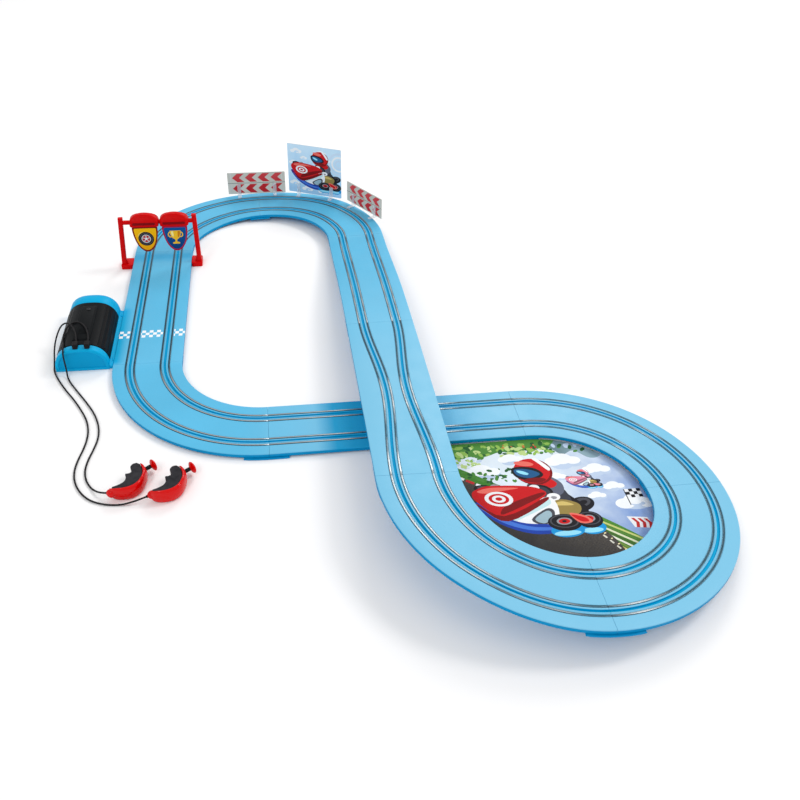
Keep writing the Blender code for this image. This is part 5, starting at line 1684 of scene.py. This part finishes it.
TAIL_RADII = (0.0060, 0.0046, 0.0058)
TAIL_INSIDE = 0.0056             # the tail's middle, from the cable's end
SLEEVE_ENDS = (-0.0012, 0.0018)
SLEEVE_RADIUS, SLEEVE_BORE = 0.0020, 0.0012


def build_trim():
    """Each controller's rounded tail, and a ribbed black sleeve where its cable leaves it."""
    black = paint("plunger_black", (30, 29, 31), 0.42, grain=1.2, mottle=0.12)
    red = FINISHES["controller_red"]
    for name, route in CABLE_ROUTES.items():
        end, before = (Vector(spot) / 1000 for spot in route[:-3:-1])
        inward = (end - before).normalized()
        tail = bmesh.new()
        bmesh.ops.create_uvsphere(tail, u_segments=32, v_segments=20, radius=1.0)
        level = inward.to_track_quat("X", "Z").to_matrix().to_4x4()
        place = Matrix.Translation(end + TAIL_INSIDE * inward)
        moved(tail, place @ level @ Matrix.Diagonal((*TAIL_RADII, 1.0)))
        add_piece(f"{name}_tail", tail, [red], slot="controller_red", smooth=60)
        start, reach = SLEEVE_ENDS
        profile = [(SLEEVE_BORE, start), (SLEEVE_RADIUS, start)]
        profile += [(SLEEVE_RADIUS - 0.0003 * (k % 2), start + (reach - start) * k / 6) for k in range(1, 6)]
        profile += [(0.0016, reach), (SLEEVE_BORE, reach)]
        turns = np.linspace(0, 2 * math.pi, 29)[:-1]
        rows = [[(radius * math.cos(t), radius * math.sin(t), z) for t in turns] for radius, z in profile]
        bm = loft(rows, closed_path=True)
        turn = (before - end).to_track_quat("Z", "Y").to_matrix().to_4x4()
        moved(bm, Matrix.Translation(end) @ turn)
        add_piece(f"{name}_sleeve", bm, [black], slot="plunger_black", smooth=35)


# ---------------------------------------------------------------- cables
CABLE_DIAMETER = 0.0022
CABLE_EXIT_Z = 0.0395            # where the cables leave their plugs
# Points in millimetres in the layout, from the plug to the handset's tail
CABLE_ROUTES = {
    "cable_1": (
        (-427.5, 180.0, 39.5), (-428.2, 188, 39.5), (-430.5, 200, 39.5), (-434.5, 213, 39.5),
        (-440.5, 226, 39.4), (-448.5, 234.5, 38.2), (-456.0, 235, 34.5), (-461.5, 228, 27.5),
        (-465.3, 217.5, 18.5), (-466.8, 206, 9.5), (-466.0, 194, 3.2), (-464.2, 181, 1.7),
        (-461.4, 166, 1.2), (-452.7, 145.7, 1.2), (-439.5, 121.3, 1.2), (-425.2, 97.6, 1.2),
        (-412.9, 74.5, 1.2), (-403.2, 52.4, 1.2), (-398.0, 31.2, 1.2), (-397.0, 11.2, 1.2),
        (-399.0, -8.1, 1.2), (-402.2, -26.6, 1.2), (-403.6, -44.8, 1.2), (-401.1, -63.5, 1.2),
        (-392.8, -83.1, 1.2), (-379.1, -99.4, 1.2), (-361.7, -108.6, 1.2), (-342.7, -111.6, 1.3),
        (-326.5, -110.8, 4.2), (-310.2, -107.7, 7.8),
    ),
    "cable_2": (
        (-411.5, 180.0, 39.5), (-412.2, 190, 39.5), (-415.5, 206, 39.4), (-421.5, 222.5, 39.0),
        (-430.5, 235.5, 37.6), (-440.5, 239.5, 35.2), (-448.6, 232, 32.2), (-451.6, 219, 29.6),
        (-450.8, 205, 29.8), (-448.2, 193, 31.6), (-446.2, 183, 33.4), (-445.0, 174.5, 34.4),
        (-444.2, 167.2, 33.6), (-443.8, 162.6, 29.6), (-443.5, 160.8, 23.0), (-443.3, 160.2, 14.0),
        (-442.8, 157.4, 6.2), (-441.0, 150.0, 1.9),
        (-435.2, 137, 1.2), (-421.9, 114, 1.2), (-408.7, 91.5, 1.2), (-397.0, 69.5, 1.2),
        (-388.6, 48, 1.2), (-384.2, 28, 1.2), (-383.6, 9.7, 1.2), (-386.3, -9.4, 1.2),
        (-389.8, -27.9, 1.2), (-391.0, -46.2, 1.2), (-387.4, -64.4, 1.2), (-379.4, -79.5, 1.3),
        (-369.2, -90.4, 4.2), (-357.5, -97.0, 7.8),
    ),
}


def build_cables():
    """Each cable leaves a handset's tail and ends in its plug on the battery box."""
    for name, route in CABLE_ROUTES.items():
        line = [Vector(spot) / 1000 for spot in smooth_line(route[::-1], 12)]
        curve = bpy.data.curves.new(name, "CURVE")
        curve.dimensions = "3D"
        curve.bevel_depth = CABLE_DIAMETER / 2
        curve.bevel_resolution = 5
        curve.use_fill_caps = True
        spline = curve.splines.new("POLY")
        spline.points.add(len(line) - 1)
        for point, spot in zip(spline.points, line):
            point.co = (*spot, 1)
        black = paint("cable_black", (34, 33, 35), 0.48, grain=2.0, mottle=0.12)
        cable = add_object(f"{name}_lead", curve, [black], "root", name, "cable_black")
        plug = build_plug(int(name[-1]))


def build_plug(number):
    """A moulded plug with a thumb step, its two prongs, and a ribbed neck round the cable."""
    low, high = (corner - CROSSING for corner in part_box(f"plug_{number}"))
    middle = (low + high) / 2
    body_low = high.z - 0.0064
    bm = rounded_block((low.x, low.y, body_low), high, 0.0007, 0.0011)
    rounded_block((low.x + 0.0012, low.y - 0.0002, body_low + 0.0014),
                  (high.x - 0.0012, low.y + 0.0040, high.z + 0.0009), 0.0006, 0.0009, bm=bm)
    rounded_block((middle.x - 0.0025, middle.y - 0.0015, low.z),
                  (middle.x + 0.0025, middle.y + 0.0019, body_low + 0.001), 0.0004, 0.0006, bm=bm)
    since = len(bm.verts)
    neck = [(0, 0), (0.0026, 0)]
    for k in range(3):
        z, less = 0.0008 + 0.0014 * k, 0.0002 * k
        neck += [(0.0025 - less, z), (0.0021 - less, z + 0.0002), (0.0021 - less, z + 0.0007),
                 (0.0024 - less, z + 0.0009)]
    neck += [(0.0017, 0.0052), (0, 0.0052)]
    lathe(neck, 24, bm)
    exit_place = Matrix.Translation((middle.x, high.y - 0.0008, CABLE_EXIT_Z))
    moved(bm, exit_place @ Matrix.Rotation(-0.5 * math.pi, 4, "X"), since)
    return add_piece(f"plug_{number}_moulding", bm, [paint("plug_black", (26, 25, 27), 0.42, mottle=0.1)],
                     replaces=f"plug_{number}", slot="plunger_black", smooth=40)


build_camera()
build_studio()
build_track()
build_rails()
build_supports()
build_card()
build_boards()
build_gantry()
build_box()
build_cover()
wrap = cell_wrap()
for cell in range(1, 5):
    dress(f"battery_cell_{cell}", wrap)
dress("battery_contact", paint("contact_steel", (186, 184, 180), 0.30, metallic=1.0, mottle=0.08))
for controller, middle in enumerate(CONTROLLERS, start=1):
    build_controller(controller, middle)
build_trim()
build_cables()
